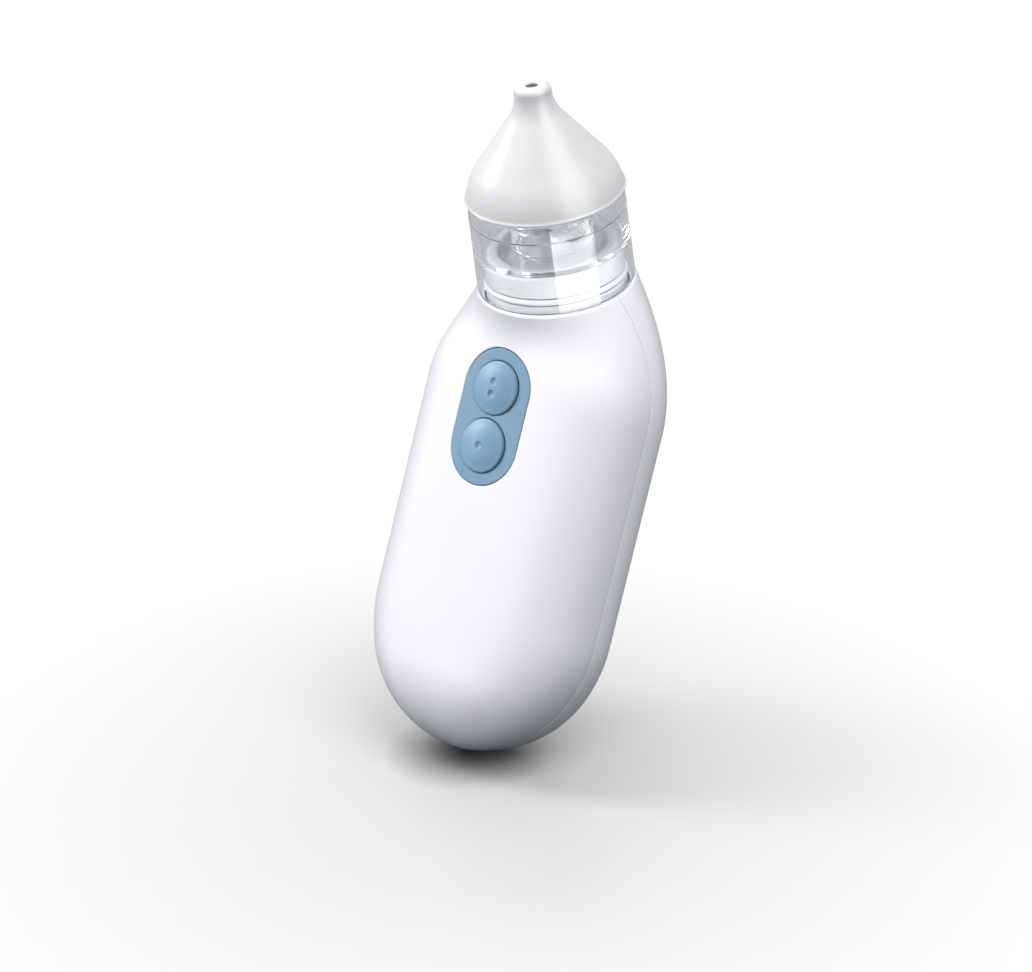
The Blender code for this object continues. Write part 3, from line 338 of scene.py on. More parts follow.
def printed_board(name):
    """Solder mask with paler copper tracks showing through it."""
    look = Look(name)
    tracks = look.node("TexBrick", {"Vector": look.place, "Scale": 420.0,
                                              "Mortar Size": 0.06}).outputs["Fac"]
    fine = look.noise(0.4, 3.0)
    colour = look.between(tracks, (0.015, 0.14, 0.06), (0.05, 0.28, 0.12), 0.0, 1.0)
    return look.use(Base_Color=colour, Roughness=look.between(fine, 0.28, 0.42),
                    Normal=look.bump(tracks, 0.03, 0.6))


def cell_jacket(name):
    """A plain dark battery sleeve with a paler band round one end, and no print."""
    look = Look(name)
    height = look.node("SeparateXYZ", {"Vector": look.place}).outputs["Z"]
    low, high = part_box("battery_left")
    ramp = look.node("ValToRGB", {"Fac": look.between(height, 0.0, 1.0, low.z, high.z)})
    ramp.color_ramp.interpolation = "CONSTANT"
    sleeve, band = ramp.color_ramp.elements
    sleeve.color = (0.05, 0.055, 0.065, 1)
    band.color = (0.62, 0.42, 0.20, 1)
    band.position = 0.72
    fine = look.noise(0.5, 3.0)
    return look.use(Base_Color=ramp.outputs["Color"], Metallic=0.6,
                    Roughness=look.between(fine, 0.25, 0.38), Normal=look.bump(fine, 0.004))


# One finish for each material slot of the record
LOOKS = {
    # The shell's last figure, 0.7, is the painted shade its colour drops to where it is seen edge-on
    "shell_white": moulded("shell_white_satin", (0.71, 0.715, 0.73), (0.69, 0.697, 0.715),
                           (0.34, 0.4), 0.5, 0.003, 0.1, 0.7),
    "surround_blue": moulded("surround_blue_satin", (0.165, 0.278, 0.385),
                             (0.153, 0.263, 0.37), (0.38, 0.5), 0.35, 0.008),
    "button_blue": moulded("button_blue_satin", (0.102, 0.184, 0.268), (0.096, 0.175, 0.255),
                           (0.32, 0.4), 0.3, 0.006),
    "cup_clear": clear_plastic("cup_clear_polished"),
    "tip_silicone": silicone("tip_silicone_white", (0.565, 0.565, 0.575), (0.535, 0.535, 0.545)),
    "seal_silicone": silicone("seal_silicone_pale", (0.70, 0.71, 0.73), (0.64, 0.65, 0.67)),
    "black_rubber": rubber("black_rubber_matte", (0.018, 0.018, 0.02), (0.04, 0.04, 0.042)),
    "black_plastic": moulded("black_plastic_fine", (0.03, 0.03, 0.032), (0.02, 0.02, 0.022),
                             (0.38, 0.52), 0.3, 0.01),
    "red_insulation": moulded("red_insulation", (0.50, 0.03, 0.025), (0.40, 0.02, 0.02),
                              (0.35, 0.5), 0.4, 0.006),
    "grey_plastic": moulded("grey_plastic_fine", (0.30, 0.31, 0.33), (0.26, 0.27, 0.29),
                            (0.42, 0.55), 0.35, 0.012),
    "board_green": printed_board("board_green_mask"),
    "cell_jacket": cell_jacket("cell_jacket_plain"),
    "plated_steel": metal("plated_steel", (0.66, 0.66, 0.64), (0.55, 0.55, 0.54)),
    "brass": metal("turned_brass", (0.72, 0.54, 0.24), (0.62, 0.45, 0.19)),
}


# ---------------- mesh tools


class Sheet:
    """Points in a local frame, in millimetres, and the faces between them."""

    def __init__(self):
        self.points = []
        self.faces = []

    def ring(self, points):
        start = len(self.points)
        self.points.extend(tuple(p) for p in points)
        return list(range(start, len(self.points)))

    def strip(self, one, other, closed=True):
        """Faces between two rows that hold the same number of points."""
        count = len(one)
        for k in range(count if closed else count - 1):
            after = (k + 1) % count
            self.faces.append((one[k], one[after], other[after], other[k]))

    def strips(self, rows, closed=True):
        for one, other in zip(rows, rows[1:]):
            self.strip(one, other, closed)

    def windowed(self, rows, low_row, top_row, left, right):
        """Faces between open rows, apart from those inside a rectangle of the grid."""
        for r, (one, other) in enumerate(zip(rows, rows[1:])):
            for c in range(len(one) - 1):
                if not (low_row <= r < top_row and left <= c < right):
                    self.faces.append((one[c], one[c + 1], other[c + 1], other[c]))


def make_piece(name, sheet, place, look):
    """A mesh object from a sheet, in the row frame, with its faces turned outward."""
    data = bpy.data.meshes.new(name)
    data.from_pydata([place @ Vector(p) for p in sheet.points], [], sheet.faces)
    mesh = bmesh.new()
    mesh.from_mesh(data)
    bmesh.ops.remove_doubles(mesh, verts=mesh.verts, dist=MERGE * MM)
    bmesh.ops.dissolve_degenerate(mesh, edges=mesh.edges, dist=SLIVER * MM)
    bmesh.ops.recalc_face_normals(mesh, faces=mesh.faces)
    mesh.to_mesh(data)
    mesh.free()
    data.shade_smooth()
    data.set_sharp_from_angle(angle=SHARP_ANGLE)
    data.materials.append(look)
    made = bpy.data.objects.new(name, data)
    bpy.context.scene.collection.objects.link(made)
    return made


def add_piece(name, sheet, place, body, slot, node=None):
    """make_piece, tied to its CAD body, its material slot and the node that it stands for."""
    made = make_piece(name, sheet, place, LOOKS[slot])
    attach(made, body)
    if node:
        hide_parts(node)
    return made


def arc(centre, radius, start, end, steps):
    """Points (across, up) on an arc, angles in degrees from across."""
    angles = [radians(start + (end - start) * k / steps) for k in range(steps + 1)]
    return [(centre[0] + radius * cos(a), centre[1] + radius * sin(a)) for a in angles]


def rounded_profile(corners, steps=5):
    """A closed (radius, height) loop from (radius, height, rounding) corners."""
    points = []
    for k, (x, y, bend) in enumerate(corners):
        here = Vector((x, y))
        if bend == 0:
            points.append((x, y))
            continue
        before = Vector(corners[k - 1][:2]) - here
        after = Vector(corners[(k + 1) % len(corners)][:2]) - here
        half = before.angle(after) / 2
        reach = min(bend / tan(half), *(MEET * way.length for way in (before, after)))
        start, end = here + before.normalized() * reach, here + after.normalized() * reach
        for s in range(steps + 1):
            t = s / steps
            leave, arrive, bow = (1 - t) ** 2, t ** 2, 2 * t * (1 - t)
            pull = bow * (1 + ROUNDNESS * bow * (sin(half) - 1))
            blend = start * leave + here * pull + end * arrive
            points.append(tuple(blend / (leave + pull + arrive)))
    return points


def turned(profile, steps=TURN_STEPS):
    """The closed (radius, height) loop spun about z."""
    sheet = Sheet()
    spokes = [2 * pi * k / steps for k in range(steps)]
    rings = [sheet.ring((radius * cos(a), radius * sin(a), height) for a in spokes)
             for radius, height in profile]
    sheet.strips(rings + rings[:1])
    return sheet


# ---------------- the handle's skins


def end_rounding(height, run, power):
    """How full the handle is at a height above its bottom, from 0 to 1."""
    left = max(0.0, 1 - height / run)
    return (1 - left ** power) ** (1 / power)


def handle_section(level, inset):
    """The handle's section, inset from the outer skin: centre y and z, tilt, half width, front
    and rear depths and how far it has turned round (0 to 1).  Level is 0 at the bottom,
    1 where the shoulder starts and 2 at the seat."""
    width, front, rear = HALF_WIDTH - inset, FRONT_DEPTH - inset, REAR_DEPTH - inset
    if level <= 1:
        length = HANDLE_LENGTH - inset
        height = (length + SHOULDER_Z) * (1 - cos(level * pi / 2))
        wide = end_rounding(height, END_WIDTH_RUN - inset, END_WIDTH_POWER)
        deep = end_rounding(height, END_DEPTH_RUN - inset, END_DEPTH_POWER)
        return PARTING_Y, height - length, 0.0, width * wide, front * deep, rear * deep, 0.0
    q = level - 1
    start, leave = 2 * q ** 3 - 3 * q ** 2 + 1, (q ** 3 - 2 * q ** 2 + q) * SHOULDER_REACH
    arrive = (q ** 3 - q ** 2) * SHOULDER_REACH
    centre_y = PARTING_Y * start - sin(BEND) * arrive
    centre_z = SHOULDER_Z * start + leave + cos(BEND) * arrive
    seat = SEAT_RADIUS - inset
    ease = q * q * (3 - 2 * q)
    narrow = (cos(q * SHOULDER_TURN) - cos(SHOULDER_TURN)) / (1 - cos(SHOULDER_TURN))
    return (centre_y, centre_z, BEND * ease, seat + (width - seat) * narrow,
            seat + (front - seat) * (1 - ease), seat + (rear - seat) * (1 - ease), ease)


def skin_point(side, level, share, inset, off_plane):
    """A point of the front (side -1) or rear (side 1) skin.  Share runs from 0 at the +x
    parting edge to 1 at the -x one, and off_plane is how far the edge is from the plane."""
    y, z, tilt, width, front, rear, ease = handle_section(level, inset)
    depth = front if side < 0 else rear
    power = FRONT_POWER if side < 0 else REAR_POWER
    power += (SEAT_POWER - power) * ease
    flat = depth - REAR_FLAT * (1 - ease) if side > 0 else depth
    along, out = cos(pi * share), max(0.0, sin(pi * share))
    x = copysign(abs(along) ** (2 / power), along) * width
    reach = min(out ** (2 / power) * depth, flat)
    off = side * (off_plane + reach * (1 - off_plane / max(depth, 1.0)))
    return x, y + off * cos(tilt), z + off * sin(tilt)


def pole_point(side, inset, off_plane):
    return 0.0, PARTING_Y + side * off_plane, inset - HANDLE_LENGTH


def round_edge(radius):
    """(distance beyond the edge, depth) down a rounded edge, from the skin to the wall."""
    angles = [pi / 2 * k / ROUND_STEPS for k in range(ROUND_STEPS + 1)]
    return [(radius * (1 - sin(a)), radius * (1 - cos(a))) for a in angles]


def skin_rows():
    """(level, extra inset) up the handle, ending in the rounded rim of the seat."""
    rows = [(k / STRAIGHT_ROWS, 0.0) for k in range(1, STRAIGHT_ROWS + 1)]
    rows += [(1 + k / SHOULDER_ROWS, 0.0) for k in range(1, SHOULDER_ROWS)]
    return rows + [(2 - short / SHOULDER_REACH, extra) for short, extra in round_edge(RIM_ROUND)]


def skin_columns():
    """(share, distance off the parting plane, extra inset), with both parting edges rounded."""
    edge = [(SEAM_HALF + off, extra) for off, extra in round_edge(SEAM_ROUND)]
    columns = [(0.0, off, extra) for off, extra in edge[:0:-1]]
    columns += [(k / HALF_COLUMNS, *edge[0]) for k in range(HALF_COLUMNS + 1)]
    return columns + [(1.0, off, extra) for off, extra in edge[1:]]


def window_loop(low_row, top_row, left, right):
    """The (row, column) places round a rectangle of the grid, in order."""
    loop = [(low_row, c) for c in range(left, right)]
    loop += [(r, right) for r in range(low_row, top_row)]
    loop += [(top_row, c) for c in range(right, left, -1)]
    return loop + [(r, left) for r in range(top_row, low_row, -1)]


class Outline:
    """A stadium or rounded rectangle in x and z: a box grown by a radius on every side."""

    def __init__(self, half_x, low_z, high_z, radius):
        self.box = (half_x - radius, low_z + radius, high_z - radius)
        self.radius = radius

    def grown(self, margin):
        """Half the width, and the ends, of a box that clears the outline by margin."""
        half_x, low_z, high_z = self.box
        grown = self.radius + margin
        return half_x + grown, low_z - grown, high_z + grown

    def at(self, toward, beyond=0.0):
        """The outline's point in the direction of (x, z), moved out by beyond."""
        half_x, low_z, high_z = self.box
        place = Vector(toward)
        middle = Vector((max(-half_x, min(half_x, place.x)), max(low_z, min(high_z, place.y))))
        return middle + (place - middle).normalized() * (self.radius + beyond)


PANEL_OUTLINE = Outline(PANEL_RADIUS, PANEL_Z - PANEL_HALF_LENGTH,
                           PANEL_Z + PANEL_HALF_LENGTH, PANEL_RADIUS)
COVER_OUTLINE = Outline(COVER_HALF_WIDTH, COVER_LOW_Z, COVER_TOP_Z, COVER_CORNER)


class Skin:
    """The unbroken outer surface of one half of the handle, to lay points on."""

    def __init__(self, side):
        self.side = side
        self.rows, self.columns = skin_rows(), skin_columns()
        self.grid = [[Vector(skin_point(side, level, share, extra + more, off))
                      for share, off, more in self.columns] for level, extra in self.rows]
        sheet = Sheet()
        sheet.strips([sheet.ring(row) for row in self.grid], closed=False)
        self.tree = BVHTree.FromPolygons(sheet.points, sheet.faces)

    def lay(self, x, z, depth=0.0):
        """The skin's point over (x, z), sunk by depth along the skin's normal."""
        start = Vector((x, self.side * RAY_START, z))
        place, normal, _, _ = self.tree.ray_cast(start, Vector((0, -self.side, 0)))
        if normal.y * self.side < 0:
            normal = -normal
        return place - normal * depth


def open_window(skin, outline, margin):
    """Rows and columns of a window in the skin that clears the outline by margin."""
    half_x, low_z, high_z = outline.grown(margin)
    middle = len(skin.columns) // 2
    rows = [r for r, row in enumerate(skin.grid) if low_z < row[middle].z < high_z]
    low_row, top_row = rows[0] - 1, rows[-1] + 1
    crossed = skin.grid[low_row:top_row + 1]
    wide = [row for row in crossed if max(p.x for p in row) > half_x + WINDOW_SPARE]
    left = 0
    while any(row[left + 1].x > half_x for row in wide):
        left += 1
        if min(row[left].x for row in crossed) < half_x * WINDOW_NARROWEST:
            break
    return low_row, top_row, left, len(skin.columns) - 1 - left


def lap(sheet, skin, starts, ends, shares, depth=0.0):
    """Rings laid on the skin at shares of the way from one loop of (x, z) places to another."""
    return [sheet.ring(skin.lay(*a.lerp(b, share), depth) for a, b in zip(starts, ends))
            for share in shares]


def cut_rings(sheet, skin, outline, towards, edge):
    """Rings down a cut edge, which lists them as (distance beyond the outline, depth)."""
    return [sheet.ring(skin.lay(*outline.at(toward, beyond), depth) for toward in towards)
            for beyond, depth in edge]


def half_shell(skin, outline, margin, edge):
    """One half of the handle: outer skin, wall and inner skin, with an opening in it."""
    sheet = Sheet()
    side, columns = skin.side, skin.columns
    pole = sheet.ring(pole_point(side, more, off) for _, off, more in columns)
    outer = [sheet.ring(row) for row in skin.grid]
    shares = [share for share, _, more in columns if more == 0.0]
    lead = (len(columns) - len(shares)) // 2
    inner_pole = sheet.ring([pole_point(side, WALL, SEAM_HALF)] * len(shares))
    inner = [sheet.ring(skin_point(side, level, share, WALL, SEAM_HALF) for share in shares)
             for level, _ in skin.rows]
    low_row, top_row, left, right = open_window(skin, outline, margin)
    sheet.strip(pole, outer[0], closed=False)
    sheet.strip(inner_pole, inner[0], closed=False)
    sheet.windowed(outer, low_row, top_row, left, right)
    sheet.windowed(inner, low_row, top_row, left - lead, right - lead)
    for end in (0, -1):
        sheet.strip([pole[end]] + [row[end] for row in outer],
                    [inner_pole[end]] + [row[end] for row in inner], closed=False)
    rim = [inner[-1][max(0, min(len(shares) - 1, c - lead))] for c in range(len(columns))]
    sheet.strip(outer[-1], rim, closed=False)

    loop = window_loop(low_row, top_row, left, right)
    around = [Vector((skin.grid[r][c].x, skin.grid[r][c].z)) for r, c in loop]
    ends = [outline.at(place, edge[0][0]) for place in around]
    sheet.strips([[outer[r][c] for r, c in loop]]
                 + lap(sheet, skin, around, ends, WINDOW_LAPS)
                 + cut_rings(sheet, skin, outline, around, edge)
                 + [[inner[r][c - lead] for r, c in loop]])
    return sheet


def add_shells(front, rear):
    pocket = [(0.0, POCKET_DEPTH), (-POCKET_LEDGE, POCKET_DEPTH), (-POCKET_LEDGE, WALL)]
    sheet = half_shell(front, PANEL_OUTLINE, PANEL_MARGIN, round_edge(EDGE_ROUND) + pocket)
    add_piece("front_skin", sheet, HANDLE, "handle", "shell_white", "front_shell")
    sheet = half_shell(rear, COVER_OUTLINE, COVER_MARGIN, round_edge(EDGE_ROUND) + [(0.0, WALL)])
    add_piece("rear_skin", sheet, HANDLE, "handle", "shell_white", "rear_shell")


# ---------------- surround and buttons


def half_stadium_ray(angle, radius, straight, centre):
    """From a button's centre, the point where a ray leaves its half of the stadium, and
    whether that point is on the line between the halves."""
    dx, dz = cos(angle), sin(angle)
    if dz < 0 and abs(dx) * centre <= -dz * radius + 1e-9:
        return Vector((-dx / dz * centre, 0.0)), True
    to_side = radius / max(abs(dx), 1e-9)
    if centre + to_side * dz <= straight:
        return Vector((copysign(radius, dx), centre + to_side * dz)), False
    drop = centre - straight
    b, c = drop * dz, drop * drop - radius * radius
    reach = -b + sqrt(b * b - c)
    return Vector((dx * reach, centre + dz * reach)), False


def surround_angles(corner):
    """Evenly spaced directions, with the two that meet the half's corners set exactly."""
    angles = [2 * pi * k / PANEL_SPOKES - pi / 2 for k in range(PANEL_SPOKES)]
    for target in (corner, -pi - corner):
        target = (target + pi / 2) % (2 * pi) - pi / 2
        nearest = min(range(PANEL_SPOKES), key=lambda k: abs(angles[k] - target))
        angles[nearest] = target
    return angles


def surround_half(sheet, skin, flip):
    """One button's half of the surround: a ring of quads from its hole to the outline."""
    radius = PANEL_RADIUS - PANEL_GAP
    straight = PANEL_HALF_LENGTH - PANEL_RADIUS
    bore = BUTTON_RADIUS + BUTTON_GAP
    angles = surround_angles(atan2(-BUTTON_OFFSET, radius))
    leaves = [half_stadium_ray(angle, radius, straight, BUTTON_OFFSET) for angle in angles]

    def lay(rows):
        return [sheet.ring(skin.lay(place.x, PANEL_Z + flip * place.y, depth)
                           for place in places) for places, depth in rows]

    def hole(across):
        return [Vector((across * cos(a), BUTTON_OFFSET + across * sin(a))) for a in angles]

    def edge(shrink):
        """The half's outline moved in by shrink, but not along the line between the halves."""
        keep = 1 - shrink / radius
        places = []
        for place, on_line in leaves:
            middle = Vector((0.0, 0.0 if on_line else min(place.y, straight)))
            between_corners = on_line and abs(place.x) < radius * (1 - CORNER_SHARE)
            places.append(place if between_corners else middle + (place - middle) * keep)
        return places

    first, last = hole(bore + BORE_ROUND), edge(EDGE_ROUND)
    stem_hole = hole(STEM_RADIUS + STEM_PLAY)
    rings = lay([(stem_hole, PANEL_BACK), (stem_hole, PANEL_FLOOR), (hole(bore), PANEL_FLOOR)]
                + [(hole(bore + beyond), PANEL_SUNK + depth)
                   for beyond, depth in round_edge(BORE_ROUND)[::-1]]
                + [([a.lerp(b, share) for a, b in zip(first, last)], PANEL_SUNK)
                   for share in PANEL_LAPS])
    rim = lay([(edge(beyond), PANEL_SUNK + depth) for beyond, depth in round_edge(EDGE_ROUND)]
              + [(edge(0.0), PANEL_BACK)])
    sheet.strips(rings + rim[:1])
    for one, other in zip(rim, rim[1:]):
        for k, (_, on_line) in enumerate(leaves):
            after = (k + 1) % len(leaves)
            if not (on_line and leaves[after][1]):
                sheet.faces.append((one[k], one[after], other[after], other[k]))
    sheet.strip(*lay([(edge(0.0), PANEL_BACK)]), rings[0])


def add_surround(skin):
    sheet = Sheet()
    for flip in (1, -1):
        surround_half(sheet, skin, flip)
    add_piece("surround_panel", sheet, HANDLE, "handle", "surround_blue", "button_surround")


def front_pose(z):
    """The front line's point at height z and the unit normal there, in the handle's frame."""

    def line(level):
        y, centre_z, tilt, _, front, _, _ = handle_section(level, 0.0)
        return Vector((0, y - front * cos(tilt), centre_z - front * sin(tilt)))

    if z <= SHOULDER_Z:
        return Vector((0, PARTING_Y - FRONT_DEPTH, z)), Vector((0, -1, 0))
    low, high = 1.0, 2.0
    for _ in range(HALVINGS):
        middle = (low + high) / 2
        if line(middle).z < z:
            low = middle
        else:
            high = middle
    along = (line(low + 0.01) - line(low)).normalized()
    return line(low), Vector((0, -along.z, along.y))


def button_height(x, y, dimples):
    """The dome's height over (x, y), with round dimples sunk at those heights up y."""
    z = BUTTON_PROUD - BUTTON_DOME + sqrt(BUTTON_DOME ** 2 - x * x - y * y)
    for place in dimples:
        share = hypot(x, y - place) / DIMPLE_RADIUS
        if share < 1:
            z -= DIMPLE_DEPTH * (1 - share ** DIMPLE_POWER)
    return z


def button_side():
    """(radius, height) from the dome's edge over a smooth shoulder, down the skirt and stem."""
    rim = button_height(BUTTON_CAP, 0.0, ())
    drop = BUTTON_SHOULDER * BUTTON_CAP / sqrt(BUTTON_DOME ** 2 - BUTTON_CAP ** 2)
    corners = [Vector((BUTTON_CAP, rim)), Vector((BUTTON_CAP + BUTTON_SHOULDER, rim - drop)),
               Vector((BUTTON_RADIUS, rim - BUTTON_DROP)), Vector((BUTTON_RADIUS, -SKIRT_TOP))]
    side = []
    for k in range(1, BUTTON_STEPS + 1):
        t = k / BUTTON_STEPS
        weights = ((1 - t) ** 3, 3 * t * (1 - t) ** 2, 3 * t * t * (1 - t), t ** 3)
        side.append(sum((c * w for c, w in zip(corners, weights)), Vector((0, 0))))
    return side + [(BUTTON_RADIUS, -BUTTON_SKIRT), (STEM_RADIUS, -BUTTON_SKIRT),
                   (STEM_RADIUS, -STEM_LENGTH), (0.0, -STEM_LENGTH)]


def button_sheet(dimples):
    """A domed button about z: a square grid bent to a disc, and rings down its side."""
    sheet = Sheet()
    steps = [2 * k / BUTTON_CELLS - 1 for k in range(BUTTON_CELLS + 1)]

    def dome_point(u, v):
        x, y = BUTTON_CAP * u * sqrt(1 - v * v / 2), BUTTON_CAP * v * sqrt(1 - u * u / 2)
        return x, y, button_height(x, y, dimples)

    rows = [sheet.ring(dome_point(u, v) for u in steps) for v in steps]
    sheet.strips(rows, closed=False)
    loop = [rows[r][c] for r, c in window_loop(0, BUTTON_CELLS, 0, BUTTON_CELLS)]
    around = [Vector(sheet.points[k][:2]).normalized() for k in loop]
    sheet.strips([loop] + [sheet.ring((d.x * across, d.y * across, up) for d in around)
                           for across, up in button_side()])
    return sheet


def add_buttons():
    half = DIMPLE_PITCH / 2
    for name, body, offset, dimples in (
            ("high", "upper_button", BUTTON_OFFSET, (-half, half)),
            ("low", "lower_button", -BUTTON_OFFSET, (0.0,))):
        place, normal = front_pose(PANEL_Z + offset)
        turn = Matrix((ACROSS, normal.cross(ACROSS), normal)).transposed().to_4x4()
        place = HANDLE @ Matrix.Translation(place) @ turn
        add_piece(f"dome_{name}", button_sheet(dimples), place, body, "button_blue",
                  f"button_{name}")


# ---------------- battery cover and case posts


def grip_depth(x, z):
    """How deep the cover's grip grooves are at (x, z)."""
    past = max(0.0, abs(x) - GRIP_HALF_LENGTH + GRIP_HALF_WIDTH)
    for k in range(GRIP_COUNT):
        off = z - (COVER_TOP_Z - GRIP_DROP - GRIP_PITCH * k)
        share = hypot(off, past) / GRIP_HALF_WIDTH
        if share < 1:
            return GRIP_DEPTH * cos(pi / 2 * share) ** 2
    return 0.0


def add_cover(skin):
    """The cover: a grid laid on the rear skin, with grip grooves pressed into it, which laps
    out to the cover's outline, and the same again on its inner side."""
    sheet = Sheet()
    low_z, high_z = COVER_LOW_Z + PLATE_RISE, COVER_TOP_Z - PLATE_DROP
    groove_low = COVER_TOP_Z - GRIP_DROP - GRIP_PITCH * GRIP_COUNT
    fine = int((high_z - groove_low) / GRIP_ROW)
    xs = [PLATE_HALF_WIDTH * (2 * k / PLATE_COLUMNS - 1) for k in range(PLATE_COLUMNS + 1)]
    zs = [low_z + (groove_low - low_z) * k / PLATE_ROWS for k in range(PLATE_ROWS)]
    zs += [groove_low + (high_z - groove_low) * k / fine for k in range(fine + 1)]
    outer = [sheet.ring(skin.lay(x, z, grip_depth(x, z)) for x in xs) for z in zs]
    inner = [sheet.ring(skin.lay(x, z, COVER_WALL) for x in xs) for z in zs]
    sheet.strips(outer, closed=False)
    sheet.strips(inner, closed=False)

    loop = window_loop(0, len(zs) - 1, 0, len(xs) - 1)
    wider = COVER_HALF_WIDTH / PLATE_HALF_WIDTH
    longer = (COVER_TOP_Z - COVER_LOW_Z) / (high_z - low_z)
    starts = [Vector((xs[c], zs[r])) for r, c in loop]
    towards = [(x * wider, COVER_LOW_Z + (z - low_z) * longer) for x, z in starts]
    cut = [(-COVER_GAP - beyond, depth) for beyond, depth in round_edge(EDGE_ROUND)]
    cut.append((-COVER_GAP, COVER_WALL))
    ends = [COVER_OUTLINE.at(toward, cut[0][0]) for toward in towards]
    sheet.strips([[outer[r][c] for r, c in loop]]
                 + lap(sheet, skin, starts, ends, COVER_LAPS)
                 + cut_rings(sheet, skin, COVER_OUTLINE, towards, cut)
                 + lap(sheet, skin, starts, ends, COVER_LAPS[::-1], COVER_WALL)
                 + [[inner[r][c] for r, c in loop]])
    add_piece("cover_skin", sheet, HANDLE, "cover", "shell_white", "battery_cover")


def add_case_posts():
    """The two posts and shelves that the case screws pull together, under the cover."""
    bore = CASE_BORE_RADIUS
    post = [(bore, POST_FRONT_Y, 0), (POST_RADIUS, POST_FRONT_Y, 0),
            (POST_RADIUS, POST_REAR_Y, 0.3), (bore, POST_REAR_Y, 0.2)]
    shelf = [(bore, SHELF_FRONT_Y, 0.15), (SHELF_RADIUS, SHELF_FRONT_Y, 0.3),
             (SHELF_RADIUS, SHELF_REAR_Y, 0.4), (bore, SHELF_REAR_Y, 0.2)]
    for side, x in (("left", -CASE_SCREW_X), ("right", CASE_SCREW_X)):
        lie = Matrix.Translation((x, 0, CASE_SCREW_Z)) @ Matrix.Rotation(-pi / 2, 4, "X")
        for name, corners in (("case_post", post), ("screw_shelf", shelf)):
            sheet = turned(rounded_profile(corners), POST_STEPS)
            add_piece(f"{name}_{side}", sheet, HANDLE @ lie, "handle", "shell_white")


# ---------------- plug, cup and tip


def plug_profile():
    """The plug: its spout below, the seal's groove, the rim, the well and the tower."""
    groove_low, groove_top = SEAL_HEIGHT - GROOVE_HALF, SEAL_HEIGHT + GROOVE_HALF
    groove = SEAL_RADIUS - SEAL_WIRE - GROOVE_PLAY
    well = PLUG_TOP - WELL_DEPTH
    return rounded_profile([
        (AIR_BORE, SPOUT_LOW, 0.1), (SPOUT_RADIUS, SPOUT_LOW, 0.1), (SPOUT_RADIUS, PLUG_LOW, 0.2),
        (PLUG_RADIUS, PLUG_LOW, 0.3), (PLUG_RADIUS, groove_low, FINE_EDGE),
        (groove, groove_low, FINE_EDGE), (groove, groove_top, FINE_EDGE),
        (PLUG_RADIUS, groove_top, FINE_EDGE), (PLUG_RADIUS, PLUG_TOP, PLUG_EDGE),
        (WELL_RADIUS + WELL_SLOPE, PLUG_TOP, 0.9), (WELL_RADIUS, well, 0.9),
        (TOWER_RADIUS, well, 0.8), (TOWER_RADIUS, TOWER_TOP, 1.5), (AIR_BORE, TOWER_TOP, 0.4)], 7)


def cup_profile():
    """The cup's one wall: outside, spigot, collar, chamber, floor, standpipe and socket."""
    inner_low, spigot_inner = SEAT_RADIUS - CUP_WALL, SPIGOT_RADIUS - SPIGOT_WALL
    floor_top = CUP_FLOOR + CUP_FLOOR_THICK
    chamber, collar = CUP_TOP_RADIUS - CUP_WALL, CUP_TOP - COLLAR_HEIGHT
    collar_inner = chamber - COLLAR_STEP
    pipe_inner = STANDPIPE_RADIUS - STANDPIPE_WALL
    return rounded_profile([
        (SEAT_RADIUS, CUP_LOW, RIM_EDGE), (CUP_TOP_RADIUS, CUP_TOP, RIM_EDGE),
        (SPIGOT_RADIUS, CUP_TOP, 0.2), (SPIGOT_RADIUS, SPIGOT_TOP, SPIGOT_EDGE),
        (spigot_inner, SPIGOT_TOP, SPIGOT_EDGE),
        (spigot_inner, CUP_TOP + SPIGOT_EDGE, SPIGOT_EDGE),
        (collar_inner, CUP_TOP - SPIGOT_EDGE, SPIGOT_EDGE),
        (collar_inner, collar + 2 * FINE_EDGE, FINE_EDGE), (chamber, collar, FINE_EDGE),
        (chamber + CHAMBER_DRAFT, floor_top, FLOOR_EDGE),
        (STANDPIPE_RADIUS, floor_top, FLOOR_EDGE),
        (STANDPIPE_RADIUS - PIPE_DRAFT, STANDPIPE_TOP, 0.45), (pipe_inner, STANDPIPE_TOP, 0.45),
        (pipe_inner, CUP_FLOOR, 0.3), (inner_low, CUP_FLOOR, 0.3),
        (inner_low, CUP_LOW, RIM_EDGE)], 6)


def tip_curve(inset, steps):
    """The tip's flank: a convex shoulder, a straight run and a concave neck, all tangent."""
    shoulder_bend, neck_bend = TIP_SHOULDER_BEND - inset, TIP_NECK_BEND + inset
    low = Vector((TIP_RADIUS - TIP_SHOULDER_BEND, TIP_SHOULDER_HEIGHT))
    high = Vector((TIP_NECK_RADIUS + TIP_NECK_BEND, TIP_NECK_HEIGHT))
    between = high - low
    lie = atan2(between.y, between.x)
    turn = degrees(lie - acos((shoulder_bend + neck_bend) / between.length))
    foot = TIP_LOW + TIP_FLANK - TIP_SHOULDER_HEIGHT
    start = degrees(asin(foot / shoulder_bend))
    curve = arc(low, shoulder_bend, start, turn, steps)
    return curve + arc(high, neck_bend, turn + 180, 180, steps)


